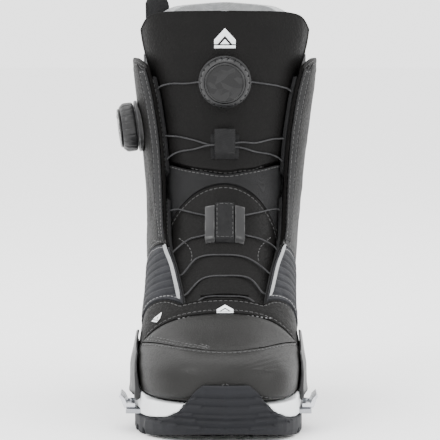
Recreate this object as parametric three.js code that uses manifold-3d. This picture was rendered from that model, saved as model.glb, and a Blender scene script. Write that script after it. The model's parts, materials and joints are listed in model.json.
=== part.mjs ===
// A right-foot snowboard boot: a stitched upper over a removable liner, two turn-dial lace closures,
// and a step-in sole with two toe cleats and a heel clip.
// Millimetres, +Z up. The toe points along -Y and the wearer's outer (lateral) side is -X.
// The origin is on the ground, at the centre of the heel tread's flat face.
import * as THREE from "three";
import { mergeVertices } from "three/addons/utils/BufferGeometryUtils.js";
import Module from "manifold-3d";

// ---------------------------------------------------------------- driving sizes
const bootLength = 302; // heel of the upper to the toe bumper
const bootHeight = 292; // ground to the liner's rear rim
const forefootWidth = 116; // upper across the ball of the foot
const cuffWidth = 141; // upper across the top of the cuff
const outsoleThickness = 12;
const midsoleThickness = 12;
const toeSpring = 7; // how far the toe of the sole lifts off the ground
const upperThickness = 3;
const overlayThickness = 1.4;
const tongueThickness = 6;
const linerThickness = 9;
const footbedThickness = 5;
const bumperThickness = 4.5;
const bumperHeight = 39;
const laceDiameter = 1.2;
const dialDiameter = 36;
const cleatLength = 26;
const heelClipWidth = 34;

// ---------------------------------------------------------------- clearances
const seamGap = 1.0; // between neighbouring panels of the upper
const skinGap = 0.45; // between one layer and the next
const fitGap = 0.4; // between solid pieces that touch
const laceGap = 0.4; // round the lace where it runs in a guide

// ---------------------------------------------------------------- materials
const finish = {
  leather: { color: 0x1b1b1c, roughness: 0.62, metalness: 0 },
  textile: { color: 0x2e2f33, roughness: 0.9, metalness: 0 },
  stretch: { color: 0x17181a, roughness: 0.8, metalness: 0 },
  webbing: { color: 0x161617, roughness: 0.85, metalness: 0 },
  liner: { color: 0x1a1a1b, roughness: 0.95, metalness: 0 },
  binding: { color: 0x8d9093, roughness: 0.8, metalness: 0 },
  foam: { color: 0xe9ebec, roughness: 0.6, metalness: 0 },
  rubber: { color: 0x242529, roughness: 0.75, metalness: 0 },
  shell: { color: 0x3a3b3d, roughness: 0.45, metalness: 0 },
  plastic: { color: 0x202123, roughness: 0.4, metalness: 0 },
  gloss: { color: 0x101011, roughness: 0.15, metalness: 0 },
  steel: { color: 0xb9bcc0, roughness: 0.3, metalness: 1 },
  lace: { color: 0x2c2d2f, roughness: 0.5, metalness: 0 },
  badge: { color: 0xe8eaea, roughness: 0.5, metalness: 0 },
};
const material = Object.fromEntries(
  Object.entries(finish).map(([name, look]) => [name, new THREE.MeshStandardMaterial(look)]),
);

// ---------------------------------------------------------------- solids
const wasm = await Module();
wasm.setup();

function solidOf(geometry) {
  const loose = geometry.index ? geometry.toNonIndexed() : geometry;
  const bare = new THREE.BufferGeometry().setAttribute("position", loose.getAttribute("position"));
  const merged = mergeVertices(bare, 1e-3);
  const triVerts = new Uint32Array(merged.index.array);
  const vertProperties = merged.attributes.position.array;
  return new wasm.Manifold(new wasm.Mesh({ numProp: 3, vertProperties, triVerts }));
}

function geometryOf(solid) {
  const { numProp, numVert, vertProperties, triVerts } = solid.getMesh();
  const position = new Float32Array(numVert * 3);
  for (let i = 0; i < numVert; i++) {
    position.set(vertProperties.subarray(i * numProp, i * numProp + 3), i * 3);
  }
  const geometry = new THREE.BufferGeometry();
  geometry.setAttribute("position", new THREE.BufferAttribute(position, 3));
  geometry.setIndex(new THREE.BufferAttribute(new Uint32Array(triVerts), 1));
  geometry.computeVertexNormals();
  return geometry;
}

const boot = new THREE.Group();

function add(name, shape, look, parent = boot) {
  const geometry = shape.isBufferGeometry ? shape : geometryOf(shape);
  const mesh = new THREE.Mesh(geometry, material[look]);
  mesh.name = name;
  parent.add(mesh);
  return mesh;
}

// ---------------------------------------------------------------- the boot's outer skin
// Each station is a section across the foot and leg, from the toe tip up to the cuff. It joins a point on
// the front line (vamp and tongue) to one on the back line (sole, heel and back), at the base size:
// [frontY, frontZ, backY, backZ, lateral half width, medial half width, share of the way back where it is
// widest, roundness of the front part, squareness of the back part, width at the back as a share].
// Heights are above the seat line, where the upper meets the midsole.
const baseSize = { length: 302, height: 268, forefoot: 116, cuff: 141 };
const stations = [
  [-252.4, 14, -252.4, 12, 0.8, 0.9, 0.5, 2.0, 2.0, 1.0],
  [-251.6, 21, -251.6, 6, 14, 16, 0.52, 2.1, 2.3, 1.0],
  [-247.5, 29, -247.5, 2.5, 30, 31, 0.56, 2.3, 3.2, 0.99],
  [-238, 34.5, -238, 1.2, 43.5, 42, 0.6, 2.4, 4.5, 0.97],
  [-222, 39.5, -222, 0.4, 54.5, 49, 0.62, 2.4, 6, 0.96],
  [-202, 47, -202, -0.5, 61, 52.5, 0.64, 2.4, 6, 0.95],
  [-182, 58.5, -182, -1, 62.8, 53.6, 0.66, 2.3, 6, 0.95],
  [-162, 74, -162, -1, 62, 53, 0.66, 2.25, 6, 0.92],
  [-143, 92, -143, 0, 60.5, 52.5, 0.64, 2.2, 6, 0.87],
  [-128, 110, -105, 1.5, 59.6, 52.5, 0.62, 2.2, 6, 0.8],
  [-119, 128, -62, 2.6, 59, 52.5, 0.6, 2.2, 5.5, 0.73],
  [-113.5, 144, -20, 3.6, 58.5, 53, 0.58, 2.2, 5, 0.7],
  [-111, 158, 18, 5, 58, 53.5, 0.55, 2.25, 4, 0.71],
  [-109.5, 170, 40, 14, 57.8, 54.2, 0.5, 2.3, 2.8, 0.78],
  [-109, 182, 44, 42, 58, 56, 0.48, 2.3, 2.4, 0.86],
  [-109, 193, 42, 74, 59, 58, 0.46, 2.35, 2.3, 0.92],
  [-109, 205, 38.5, 106, 61, 60, 0.46, 2.4, 2.3, 0.96],
  [-109.5, 218, 36, 139, 63.5, 63, 0.46, 2.4, 2.3, 1.0],
  [-110.5, 232, 34, 172, 66, 66, 0.46, 2.4, 2.3, 1.0],
  [-112, 246, 31.5, 206, 68.5, 68.5, 0.46, 2.4, 2.3, 1.0],
  [-113, 257, 29, 238, 70, 70, 0.46, 2.4, 2.3, 1.0],
  [-114, 266, 27, 268, 70.5, 70.5, 0.46, 2.4, 2.3, 1.0],
];
const lastStation = stations.length - 1;
const seatLine = outsoleThickness + midsoleThickness;
const lengthScale = bootLength / baseSize.length;
const baseSeat = 24; // height of the seat line at the base size
const heightScale = (bootHeight - seatLine) / baseSize.height;
const heightOf = (baseHeight) => seatLine + (baseHeight - baseSeat) * heightScale;

const mix = (a, b, share) => a + (b - a) * share;
const clamp = (v, low, high) => Math.min(high, Math.max(low, v));
// Rises from 0 to 1 between low and high, or falls where low is the greater.
const smooth = (low, high, v) =>
  low < high ? THREE.MathUtils.smoothstep(v, low, high) : 1 - THREE.MathUtils.smoothstep(v, high, low);

// A table of [at, value] rows read as a smooth-ended polyline.
function table(rows, at) {
  if (at <= rows[0][0]) return rows[0][1];
  for (let i = 1; i < rows.length; i++) {
    const [a, va] = rows[i - 1];
    const [b, vb] = rows[i];
    if (at <= b) return mix(va, vb, (at - a) / (b - a));
  }
  return rows[rows.length - 1][1];
}

// The section at station number t, which needn't be whole, by a Catmull-Rom spline down each column.
function section(t) {
  const i = clamp(Math.floor(t), 0, lastStation - 1);
  const u = t - i;
  const at = (n) => stations[clamp(n, 0, lastStation)];
  const column = (c) => {
    if (t > lastStation) return mix(at(lastStation - 1)[c], at(lastStation)[c], t - lastStation + 1);
    const [p0, p1, p2, p3] = [at(i - 1)[c], at(i)[c], at(i + 1)[c], at(i + 2)[c]];
    const bend = 2 * p0 - 5 * p1 + 4 * p2 - p3;
    return p1 + 0.5 * u * (p2 - p0 + u * (bend + u * (3 * (p1 - p2) + p3 - p0)));
  };
  const [
    fy, fz, by, bz, lateral, medial, widest, round, square, share,
  ] = stations[0].map((_, c) => column(c));
  const widthScale = mix(forefootWidth / baseSize.forefoot, cuffWidth / baseSize.cuff, smooth(9, 19, t));
  return {
    front: new THREE.Vector2(fy * lengthScale, seatLine + fz * heightScale),
    back: new THREE.Vector2(by * lengthScale, seatLine + bz * heightScale),
    lateral: lateral * widthScale,
    medial: medial * widthScale,
    widest,
    round,
    square,
    share,
  };
}

// How far to move along a section's own line to go in by 1 mm square to the skin.
const slantLimit = 1.9;
function slants(t) {
  const before = section(t - 0.05);
  const after = section(t + 0.05);
  const here = section(t);
  const along = here.back.clone().sub(here.front).normalize();
  const slant = (a, b) => {
    const run = b.clone().sub(a).normalize();
    return Math.min(slantLimit, 1 / Math.max(0.3, Math.abs(run.x * along.y - run.y * along.x)));
  };
  return { here, along, front: slant(before.front, after.front), back: slant(before.back, after.back) };
}

// A point of the skin moved in by inset. angle runs from 0 on the front line to 1 on the back line;
// side is -1 for lateral and 1 for medial. An angle past 1 comes round on the other side.
const toeEnd = 4.5; // station where the toe's rounding ends
function skin(t, angle, side, inset) {
  if (angle < 0) return skin(t, -angle, -side, inset);
  if (angle > 1) return skin(t, 2 - angle, -side, inset);
  const { here, along, front, back } = slants(t);
  const length = here.back.distanceTo(here.front);
  const full = smooth(0, toeEnd, t);
  const take = inset * Math.min(1, length / 45);
  const a = here.front.clone().addScaledVector(along, take * front);
  const b = here.back.clone().addScaledVector(along, -take * back);
  const half = side < 0 ? here.lateral : here.medial;
  const width = half - (inset * half) / Math.max(half, 57);
  const turn = angle * Math.PI;
  const power = turn < Math.PI / 2 ? 2 / here.round : 2 / here.square;
  const out = Math.pow(Math.sin(turn), power);
  const way = Math.pow(Math.abs(Math.cos(turn)), power);
  const down = turn < Math.PI / 2 ? here.widest * (1 - way) : here.widest + (1 - here.widest) * way;
  const narrow = mix(1, here.share, smooth(here.widest, 1, down));
  const centre = a.lerp(b, down);
  return new THREE.Vector3(side * width * out * narrow, centre.x + inset * (1 - full), centre.y);
}

// Station where the front line reaches height z, and the angle that lies x from the centre plane.
function solve(low, high, f) {
  for (let i = 0; i < 40; i++) {
    const middle = (low + high) / 2;
    if (f(middle) < 0) low = middle;
    else high = middle;
  }
  return (low + high) / 2;
}
const stationAtHeight = (z, inset = 0) => solve(1, lastStation, (t) => skin(t, 0, 1, inset).z - z);
const angleAtX = (t, x, inset = 0) =>
  solve(0, 0.5, (angle) => Math.abs(skin(t, angle, Math.sign(x) || 1, inset).x) - Math.abs(x));
function frontPlace(x, z, inset = 0) {
  const side = x < 0 ? -1 : 1;
  const t = solve(2, lastStation + 0.3, (s) => skin(s, angleAtX(s, x, inset), side, inset).z - z);
  return { t, angle: angleAtX(t, x, inset), side };
}

// ---------------------------------------------------------------- where the seams run
// The front edge of the upper's opening, as [height, lateral and medial half width of the gap].
const openingEdge = [
  [80, 31], [90, 30.5], [98, 33], [110, 36.5], [118, 40.5], [127, 43.5], [146, 44.5], [166, 45.3],
  [185, 46.3],
  [200, 47.6], [212, 49.5], [228, 52], [238, 54.6], [262, 61],
];
const openingRows = {};
for (const side of [-1, 1]) {
  openingRows[side] = openingEdge.map(([z, x]) => {
    const place = frontPlace(side * x, heightOf(z));
    return [place.t, place.angle];
  });
}
const openingAngle = (t, side) => table(openingRows[side], t);
// Half of a seam's gap, in stations.
const half = seamGap / 2 / skin(12, 0, 1, 0).distanceTo(skin(13, 0, 1, 0));

const bottomEdge = 0.76; // angle where the upper turns under the foot
const toeSeam = (angle) => table(
  [[0, 3.2], [0.09, 3.5], [0.18, 4.15], [0.27, 4.95], [0.36, 5.72], [0.46, 5.8], [1, 5.8]],
  Math.abs(angle),
);
const toeLine = 5.86; // stitched line across the toes
const vampEnd = (angle) => table([[0, 6.5], [0.15, 6.5], [0.2, 6.9], [0.64, 9.1], [1, 9.3]], Math.abs(angle));
const cuffLine = (angle) => 9.3 + 6 * Math.pow(clamp((mirror(angle) - 0.25) / 0.75, 0, 1), 0.9);
const cuffTop = (angle) => table(
  [
    [0.2, 18.1], [0.35, 18.2], [0.385, 18.65], [0.42, 18.88], [0.5, 18.9], [0.6, 18.8], [0.75, 19.1],
    [1, 19.7],
  ],
  mirror(angle),
);
const mirror = (angle) => Math.min(Math.abs(angle), 2 - Math.abs(angle));
const tongueTop = (angle) => table(
  [[0, 20.66], [0.2, 20.64], [0.3, 20.54], [0.36, 20.32], [0.4, 19.9], [0.43, 19.3]], Math.abs(angle),
);
// The liner's rim stands high behind the tongue and at the calf, and dips at the sides.
const linerTop = (angle) => table(
  [[0.13, 20.2], [0.3, 19.6], [0.42, 19.1], [0.5, 19], [0.57, 19.3], [0.66, 20], [0.8, 20.5], [1, 20.67]],
  mirror(angle),
);
const tongueBase = 6.15;

// ---------------------------------------------------------------- layers, as insets from the skin
const underUpper = upperThickness + skinGap;
const laceDepth = 5.15; // lace centre in the guides
const guideInside = 6.6;
const wingReach = 0.355; // the tongue's side edge below the collar, as an angle
const topReach = 0.43; // and at its top
const underTongue = 7; // where things lie on the tongue
const dialDepth = 8; // the tongue's face under the front dial
const laceRadius = laceDiameter / 2;
const sleeve = upperThickness + skinGap + laceRadius; // lace centre where it runs bare under the cuff
const tongueReach = (t, side) => Math.min(
  openingAngle(t, side) + 0.065, mix(wingReach, topReach, smooth(17.5, 19, t)),
);
const tongueOutside = (t, angle) => {
  const middle = table([[6.15, 5.1], [6.6, 6.2], [7.4, 7.2], [9, 8]], t);
  const flare = 3 * smooth(18.2, 19.6, t) * smooth(0.22, 0.34, Math.abs(angle));
  return mix(middle, Math.max(middle, 7.1), smooth(0.08, 0.13, Math.abs(angle))) - flare;
};
const tongueInside = (t, angle) => tongueOutside(t, angle) + tongueThickness;
// room round the turn of the heel
const heelEase = (t) => 1.9 * smooth(11.2, 12.1, t) * smooth(14.6, 13.8, t);
// The liner steps in behind the tongue to leave room for it.
function linerSkin(t, angle) {
  const a = mirror(angle);
  const side = angle < 0 || angle > 1 ? -1 : 1;
  const plain = mix(
    sleeve + laceRadius + 0.35, underUpper + 0.25, smooth(0.68, 0.76, a) * smooth(13.4, 12.6, t),
  ) + heelEase(t) + 3 * smooth(18.3, 19.2, t);
  const reach = tongueReach(t, side);
  const behind = smooth(reach + 0.16, reach + 0.06, a) * smooth(tongueBase - 1.3, tongueBase - 0.2, t);
  return mix(plain, tongueInside(t, 0.2) + 0.85, behind);
}

// A panel of the skin between lines of stations and angles, from the inset outer to the inset inner.
// Each limit is a number, or a function: of the angle for the stations, of the station for the angles,
// and of both for the insets. columns are shares from the first angle to the last.
const at = (limit, ...values) => (typeof limit === "function" ? limit(...values) : limit);
const even = (count) => Array.from({ length: count + 1 }, (_, i) => i / count);
function panel({ side = 1, angles, from, to, outer, inner, columns, rows, crowd = 1 }) {
  const shares = Array.isArray(columns) ? columns : even(columns);
  const [across, along] = [shares.length - 1, rows];
  const grid = [];
  for (const inset of [outer, inner]) {
    for (const share of shares) {
      for (let j = 0; j <= along; j++) {
        let [t, angle] = [10, 0];
        for (let pass = 0; pass < 12; pass++) {
          angle = mix(at(angles[0], t), at(angles[1], t), share);
          t = mix(at(from, angle), at(to, angle), Math.pow(j / along, crowd));
        }
        grid.push(skin(t, angle, side, at(inset, t, angle * side)));
      }
    }
  }
  const row = along + 1;
  const layer = (across + 1) * row;
  const faces = [];
  const quad = (a, b, c, d) => faces.push(a, b, c, a, c, d);
  for (let i = 0; i < across; i++) {
    for (let j = 0; j < along; j++) {
      const p = i * row + j;
      quad(p, p + row, p + row + 1, p + 1);
      quad(layer + p, layer + p + 1, layer + p + row + 1, layer + p + row);
    }
  }
  for (let j = 0; j < along; j++) {
    const p = across * row + j;
    quad(j, j + 1, layer + j + 1, layer + j);
    quad(p, layer + p, layer + p + 1, p + 1);
  }
  for (let i = 0; i < across; i++) {
    const p = i * row;
    const q = p + along;
    quad(p, layer + p, layer + p + row, p + row);
    quad(q, q + row, layer + q + row, layer + q);
  }
  return closed(grid, faces);
}
// Shares for a panel whose columns stand at given angles.
const standing = (angles) => ({
  angles: [angles[0], angles[angles.length - 1]],
  columns: angles.map((a) => (a - angles[0]) / (angles[angles.length - 1] - angles[0])),
});
const bothWays = (angles) => [
  ...angles.slice().reverse().map((a) => -a), ...angles,
].filter((a, i, all) => a !== 0 || all.indexOf(a) === i);

// A closed body through whole rings of the skin, capped at both ends.
const halfRing = [
  0, 0.045, 0.09, 0.135, 0.18, 0.225, 0.27, 0.315, 0.36, 0.41, 0.46, 0.51, 0.56, 0.61, 0.66, 0.71, 0.76,
  0.79, 0.82, 0.86, 0.91, 0.96, 1,
];
// Sections of a whole body, closer together where the toe and the heel turn.
const bodyRows = [
  0, 0.15, 0.4, 0.75, 1.1, 1.5, 2, 2.5, 3, 3.5, 4, 4.6, 5.2, 5.8, 6.5, 7.2, 8, 8.8, 9.5, 10.2, 10.8, 11.3,
  11.7, 12, 12.25, 12.5, 12.75, 13, 13.25, 13.5, 13.9, 14.3, 14.8, 15.5, 16.5, 17.5, 18.5, 19.5, 20.5,
];
function body({ from, to, inset, thin = 1, sections = bodyRows }) {
  const kept = halfRing.filter((_, i) => i % thin === 0);
  const ring = [...kept, ...kept.slice(1, -1).reverse().map((a) => 2 - a)];
  const around = ring.length;
  const rows = [from, ...sections.filter((t) => t > from + 0.1 && t < to - 0.2), to];
  const along = rows.length - 1;
  const grid = [];
  for (const t of rows) {
    for (let i = 0; i < around; i++) {
      const angle = ring[i];
      grid.push(skin(t, angle, 1, at(inset, t, angle)));
    }
  }
  const faces = [];
  for (let j = 0; j < along; j++) {
    for (let i = 0; i < around; i++) {
      const [p, q] = [j * around + i, j * around + ((i + 1) % around)];
      faces.push(p, q, q + around, p, q + around, p + around);
    }
  }
  for (const j of [0, along]) {
    const centre = new THREE.Vector3();
    for (let i = 0; i < around; i++) centre.addScaledVector(grid[j * around + i], 1 / around);
    grid.push(centre);
    for (let i = 0; i < around; i++) {
      const [p, q] = [j * around + i, j * around + ((i + 1) % around)];
      faces.push(...(j ? [p, q, grid.length - 1] : [q, p, grid.length - 1]));
    }
  }
  return closed(grid, faces);
}

function closed(points, faces) {
  const geometry = new THREE.BufferGeometry().setFromPoints(points).setIndex(faces);
  const made = solidOf(geometry);
  if (made.volume() > 0) return made;
  for (let i = 0; i < faces.length; i += 3) [faces[i + 1], faces[i + 2]] = [faces[i + 2], faces[i + 1]];
  return solidOf(geometry.setIndex(faces));
}

// The whole boot as one body, to cut neighbours with.
const envelope = (inset, to = lastStation + 0.4) => body({ from: 0, to, inset });
const upperForm = envelope(-fitGap);

// ---------------------------------------------------------------- simple shapes
const [X, Y, Z] = [new THREE.Vector3(1, 0, 0), new THREE.Vector3(0, 1, 0), new THREE.Vector3(0, 0, 1)];
function prism(points, depth) {
  const outline = Array.isArray(points) ? new THREE.Shape(points) : points;
  return new THREE.ExtrudeGeometry(outline, { depth, bevelEnabled: false, curveSegments: 8 });
}
// A side-view outline of [y, z] points, or a front-view one of [x, z] points, pushed across the boot.
const wide = 200;
function sideCut(points, x0 = -wide / 2, x1 = wide / 2) {
  const outline = points.map(([y, z]) => new THREE.Vector2(y, z));
  const geometry = prism(outline, x1 - x0).translate(0, 0, x0);
  return solidOf(geometry.applyMatrix4(new THREE.Matrix4().makeBasis(Y, Z, X)));
}
function frontCut(points, fromY, toY) {
  const outline = points.map(([x, z]) => new THREE.Vector2(x, z));
  return solidOf(prism(outline, toY - fromY).rotateX(Math.PI / 2).translate(0, toY, 0));
}
function block(x0, x1, y0, y1, z0, z1) {
  const box = new THREE.BoxGeometry(x1 - x0, y1 - y0, z1 - z0);
  return solidOf(box.translate((x0 + x1) / 2, (y0 + y1) / 2, (z0 + z1) / 2));
}
function lathed(profile, segments = 28) {
  const points = profile.map(([r, z]) => new THREE.Vector2(r, z));
  return solidOf(new THREE.LatheGeometry([...points, points[0]], segments).rotateX(Math.PI / 2));
}
const cutAll = (shape, cuts) => cuts.reduce((left, cut) => left.subtract(cut), shape);
const largest = (shape) => shape.decompose().reduce((a, b) => (a.volume() > b.volume() ? a : b));
// A round cord through given points.
function cord(points, radius, steps, sides = 5) {
  const path = new THREE.CatmullRomCurve3(points, false, "centripetal");
  const ring = Array.from({ length: sides }, (_, i) => (i * 2 * Math.PI) / sides);
  const outline = new THREE.Shape(
    ring.map((a) => new THREE.Vector2(radius * Math.cos(a), radius * Math.sin(a))),
  );
  return solidOf(new THREE.ExtrudeGeometry(outline, { steps, extrudePath: path, bevelEnabled: false }));
}

// ---------------------------------------------------------------- sole
const heelBack = 44 * lengthScale;
const soleFront = heelBack - bootLength;
const treadSplit = [-132, -52].map((y) => y * lengthScale); // the arch between the two treads
const groundContact = -212 * lengthScale; // where the toe spring starts
const sideScale = forefootWidth / baseSize.forefoot;
// Half widths of the sole, lateral and medial, along its length.
const soleOutline = [
  [soleFront / lengthScale, 0, 0], [-250, 26, 28], [-238, 42, 41], [-220, 54, 49], [-195, 61.5, 53],
  [-168, 62.5, 53],
  [-138, 58.5, 49], [-104, 51, 44], [-65, 45, 41], [-25, 43, 41], [8, 41, 39.5], [28, 32.5, 31.5],
  [39.5, 17, 16.5], [44, 0, 0],
].map(([y, lateral, medial]) => [y * lengthScale, lateral * sideScale, medial * sideScale]);
function soleShape(grow) {
  const middle = (soleFront + heelBack) / 2;
  const push = 1 + (2 * grow) / bootLength;
  const place = (side) => ([y, lateral, medial]) => {
    const half = side < 0 ? lateral : medial;
    return new THREE.Vector3(side * (half + (half > 0 ? grow : 0)), middle + (y - middle) * push, 0);
  };
  const medial = soleOutline.map(place(1));
  const lateral = soleOutline.map(place(-1)).slice(1, -1).reverse();
  const curve = new THREE.CatmullRomCurve3([...medial, ...lateral], true, "centripetal");
  return new THREE.Shape(curve.getPoints(52).slice(0, -1).map((p) => new THREE.Vector2(p.x, p.y)));
}
const soleSlab = (grow, low, high) => solidOf(prism(soleShape(grow), high - low).translate(0, 0, low));
const soleHalf = (y, side) => table(soleOutline.map((row) => [row[0], row[side < 0 ? 1 : 2]]), y);
const lift = (y) => toeSpring * Math.pow(clamp((groundContact - y) / (groundContact - soleFront), 0, 1), 1.6);

// Side view of a layer of the sole between two heights that follow the toe spring.
const beyond = 30; // past the ends of the sole, for cuts
const springSteps = even(5).map((share) => mix(soleFront - 1, groundContact, share));
function soleLayer(low, high, fromY, toY) {
  const stops = (limit) =>
    [fromY, ...springSteps, ...(limit.breaks ?? []), toY].filter(
      (y, i, all) => y >= fromY && y <= toY && all.indexOf(y) === i,
    ).sort((a, b) => a - b);
  const floor = stops(low).map((y) => [y, at(low, y) + lift(y)]);
  const roof = stops(high).map((y) => [y, at(high, y) + lift(y)]);
  return sideCut([...floor, ...roof.reverse()]);
}

// Top of the midsole's side wall: low at the toe, humped at the cleats, high round the heel.
const wallRows = [
  [-262, 25], [-240, 25], [-215, 25], [-203, 30], [-192, 31.5], [-165, 30], [-140, 27.5], [-60, 29],
  [-10, 34], [60, 38],
];
function wallTop(rise) {
  const top = (y) => table(wallRows, y / lengthScale) + seatLine - baseSeat + rise - lift(y);
  top.breaks = wallRows.map(([y]) => y * lengthScale);
  return top;
}

const cleatMiddle = -187 * lengthScale;
const sides = { lateral: -1, medial: 1 };
const plateThickness = 3;
const plateLow = outsoleThickness + fitGap;
const earReach = 6.5; // how far the cleat plate's ears stand past the sole's side
function cleatPlate(grow) {
  const half = cleatLength / 2 + 4 + grow;
  const [left, right] = [-1, 1].map((side) => side * (soleHalf(cleatMiddle, side) + earReach + grow));
  return block(
    left, right, cleatMiddle - half, cleatMiddle + half, plateLow - grow,
    plateLow + plateThickness + grow,
  );
}

const treadDepth = 4;
// Shallow V grooves across the tread, pointing at the toe.
function treadGrooves(fromY, toY, pitch, width) {
  const arm = 90;
  const sweep = 9;
  const cuts = [];
  for (let y = fromY + pitch; y < toY - pitch / 2; y += pitch) {
    const points = [
      [-arm, y + sweep], [0, y], [arm, y + sweep], [arm, y + sweep + width], [0, y + width],
      [-arm, y + sweep + width],
    ];
    const outline = points.map(([x, v]) => new THREE.Vector2(x, v));
    cuts.push(solidOf(prism(outline, treadDepth + 4).translate(0, 0, -4)));
  }
  return cuts;
}

// The toe bumper: a rubber wall that climbs the front of the toe, as a rounded trapezoid seen from the front.
const bumperRear = -212 * lengthScale;
const bumperEdge = [
  [-56, 2], [-55, 9.5], [-42, 13.5], [-30.5, 20], [-25, 28], [-21, 34], [-15, bumperHeight],
  [16, bumperHeight], [22, 34], [26, 28], [32, 20],
  [44, 13], [54, 9.5], [55, 2],
];
function bumper(grow) {
  const middle = [0, 15];
  const outline = bumperEdge.map(([x, z]) => {
    const away = new THREE.Vector2(x - middle[0], z - middle[1]).setLength(grow);
    return [x + away.x, z + away.y];
  });
  const inside = soleSlab(-bumperThickness - grow, 0, bumperHeight + 20);
  const wall = soleSlab(0.6 + grow, 0, bumperHeight + 10).subtract(inside);
  return wall.intersect(
    frontCut(outline, soleFront - beyond, bumperRear + grow),
  ).intersect(soleLayer(3, bumperHeight + 9, soleFront - beyond, 0));
}

const foreTread = soleSlab(0, -1, outsoleThickness + toeSpring + 1)
  .intersect(soleLayer(0, outsoleThickness, soleFront - beyond, treadSplit[0]))
  .add(bumper(0).subtract(upperForm));
const heelTread = soleSlab(0, -1, outsoleThickness + 1).intersect(
  soleLayer(0, outsoleThickness, treadSplit[1], heelBack + beyond),
);
const restingFace = block(-20, 20, -20, 20, -5, treadDepth + 5); // the middle of the heel stays flat
const heelGrooves = treadGrooves(
  treadSplit[1] - 6, heelBack, 16, 4.5,
).map((cut) => cut.subtract(restingFace));
add(
  "outsole_forefoot", cutAll(foreTread, treadGrooves(-238 * lengthScale, treadSplit[0], 15, 4.5)),
  "rubber",
);
add("outsole_heel", cutAll(heelTread, heelGrooves), "rubber");

const heelClipLow = 30;
const heelClipHigh = 62;
const heelClipBack = heelBack + 4.5;
const heelClipBlock = (grow) =>
  block(
    -heelClipWidth / 2 - grow, heelClipWidth / 2 + grow, heelBack - 22, heelClipBack + grow,
    heelClipLow - grow, heelClipHigh + grow,
  );
const midsoleLow = outsoleThickness + fitGap;
const midsoleBlank = soleSlab(-0.8, midsoleLow - 1, 60)
  .intersect(soleLayer(midsoleLow, wallTop(0), soleFront - beyond, heelBack + beyond))
  .subtract(upperForm)
  .subtract(cleatPlate(fitGap))
  .subtract(bumper(fitGap))
  .subtract(heelClipBlock(fitGap));
add("cleat_plate", cleatPlate(0), "plastic");

// ---------------------------------------------------------------- side shells, toe cleats, heel clip
const screwRadius = 1.5;
const screwHead = 2.7;
// A domed machine screw along +Z with its head's underside at the origin, and the hole for it.
const screw = (length) =>
  lathed(
    [
      [0, -length], [screwRadius, -length], [screwRadius, 0], [screwHead, 0], [screwHead * 0.8, 1.6],
      [0, 2],
    ],
    14,
  );
const screwHole = (length) => {
  const [shaft, head] = [screwRadius + fitGap, screwHead + fitGap];
  return lathed(
    [
      [0, -length - fitGap], [shaft, -length - fitGap], [shaft, -fitGap], [head, -fitGap], [head, 30],
      [0, 30],
    ],
    14,
  );
};

// A moulded shell hugs each side of the forefoot and flares out to its cleat.
function sideShell(side) {
  const narrow = (angle) => smooth(0.36, 0.5, angle);
  const flare = (t, angle) => {
    const down = smooth(0.4, 0.66, Math.abs(angle));
    return -fitGap - 1.4 - 8 * Math.pow(down, 1.3) * clamp(1 - Math.pow((t - 6.2) / 2.2, 2), 0, 1);
  };
  return panel({
    side, angles: [0.4, 0.665], from: (angle) => mix(5.5, 4.7, narrow(angle)),
    to: (angle) => mix(6.7, 7.9, narrow(angle)),
    outer: flare, inner: -fitGap, columns: 6, rows: 7,
  });
}
const cleatBase = plateLow + plateThickness + fitGap;
const cleatTop = 25.5;
function toeCleat(side) {
  const inner = soleHalf(cleatMiddle, side) - 0.4 + fitGap;
  const tip = soleHalf(cleatMiddle, side) + 11.5;
  const profile = [
    [inner, cleatBase], [tip - 3.4, cleatBase], [tip - 1.4, cleatTop - 3.6], [tip, cleatTop - 2.2],
    [tip - 1.2, cleatTop],
    [tip - 4.2, cleatTop - 3], [tip - 5.6, cleatBase + 3.2], [inner, cleatBase + 3.2],
  ];
  const turnedTo = profile.map(([x, z]) => [side * x, z]);
  return frontCut(turnedTo, cleatMiddle - cleatLength / 2, cleatMiddle + cleatLength / 2);
}
for (const [name, side] of Object.entries(sides)) {
  const seat = cleatBase + 3.2;
  const screwX = side * (soleHalf(cleatMiddle, side) + 3.1);
  const bore = screwHole(6).translate([screwX, cleatMiddle, seat]);
  const half = cleatLength / 2 + fitGap;
  const shell = sideShell(side)
    .subtract(block(-wide, wide, cleatMiddle - half - 4, cleatMiddle + half + 4, 0, cleatTop + fitGap))
    .subtract(
      soleSlab(-0.8 + fitGap, 0, 60).intersect(
        soleLayer(-1, wallTop(fitGap), soleFront - beyond, heelBack),
      ),
    )
    .subtract(soleSlab(fitGap, -1, outsoleThickness + fitGap));
  add(`side_shell_${name}`, largest(shell), "shell");
  add(
    `toe_cleat_${name}`,
    largest(toeCleat(side).subtract(upperForm).subtract(soleSlab(-0.8 + fitGap, 0, 60)).subtract(bore)),
    "steel",
  );
  add(`cleat_screw_${name}`, screw(2.6).translate([screwX, cleatMiddle, seat + 0.05]), "steel");
}
const heelClipScrews = [heelClipLow + 8, heelClipHigh - 8];
const facingBack = (shape, z) => shape.rotate([-90, 0, 0]).translate([0, heelClipBack, z]);
add("heel_clip_screw_lower", facingBack(screw(2.6), heelClipScrews[0]), "steel");
add("heel_clip_screw_upper", facingBack(screw(2.6), heelClipScrews[1]), "steel");

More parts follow.
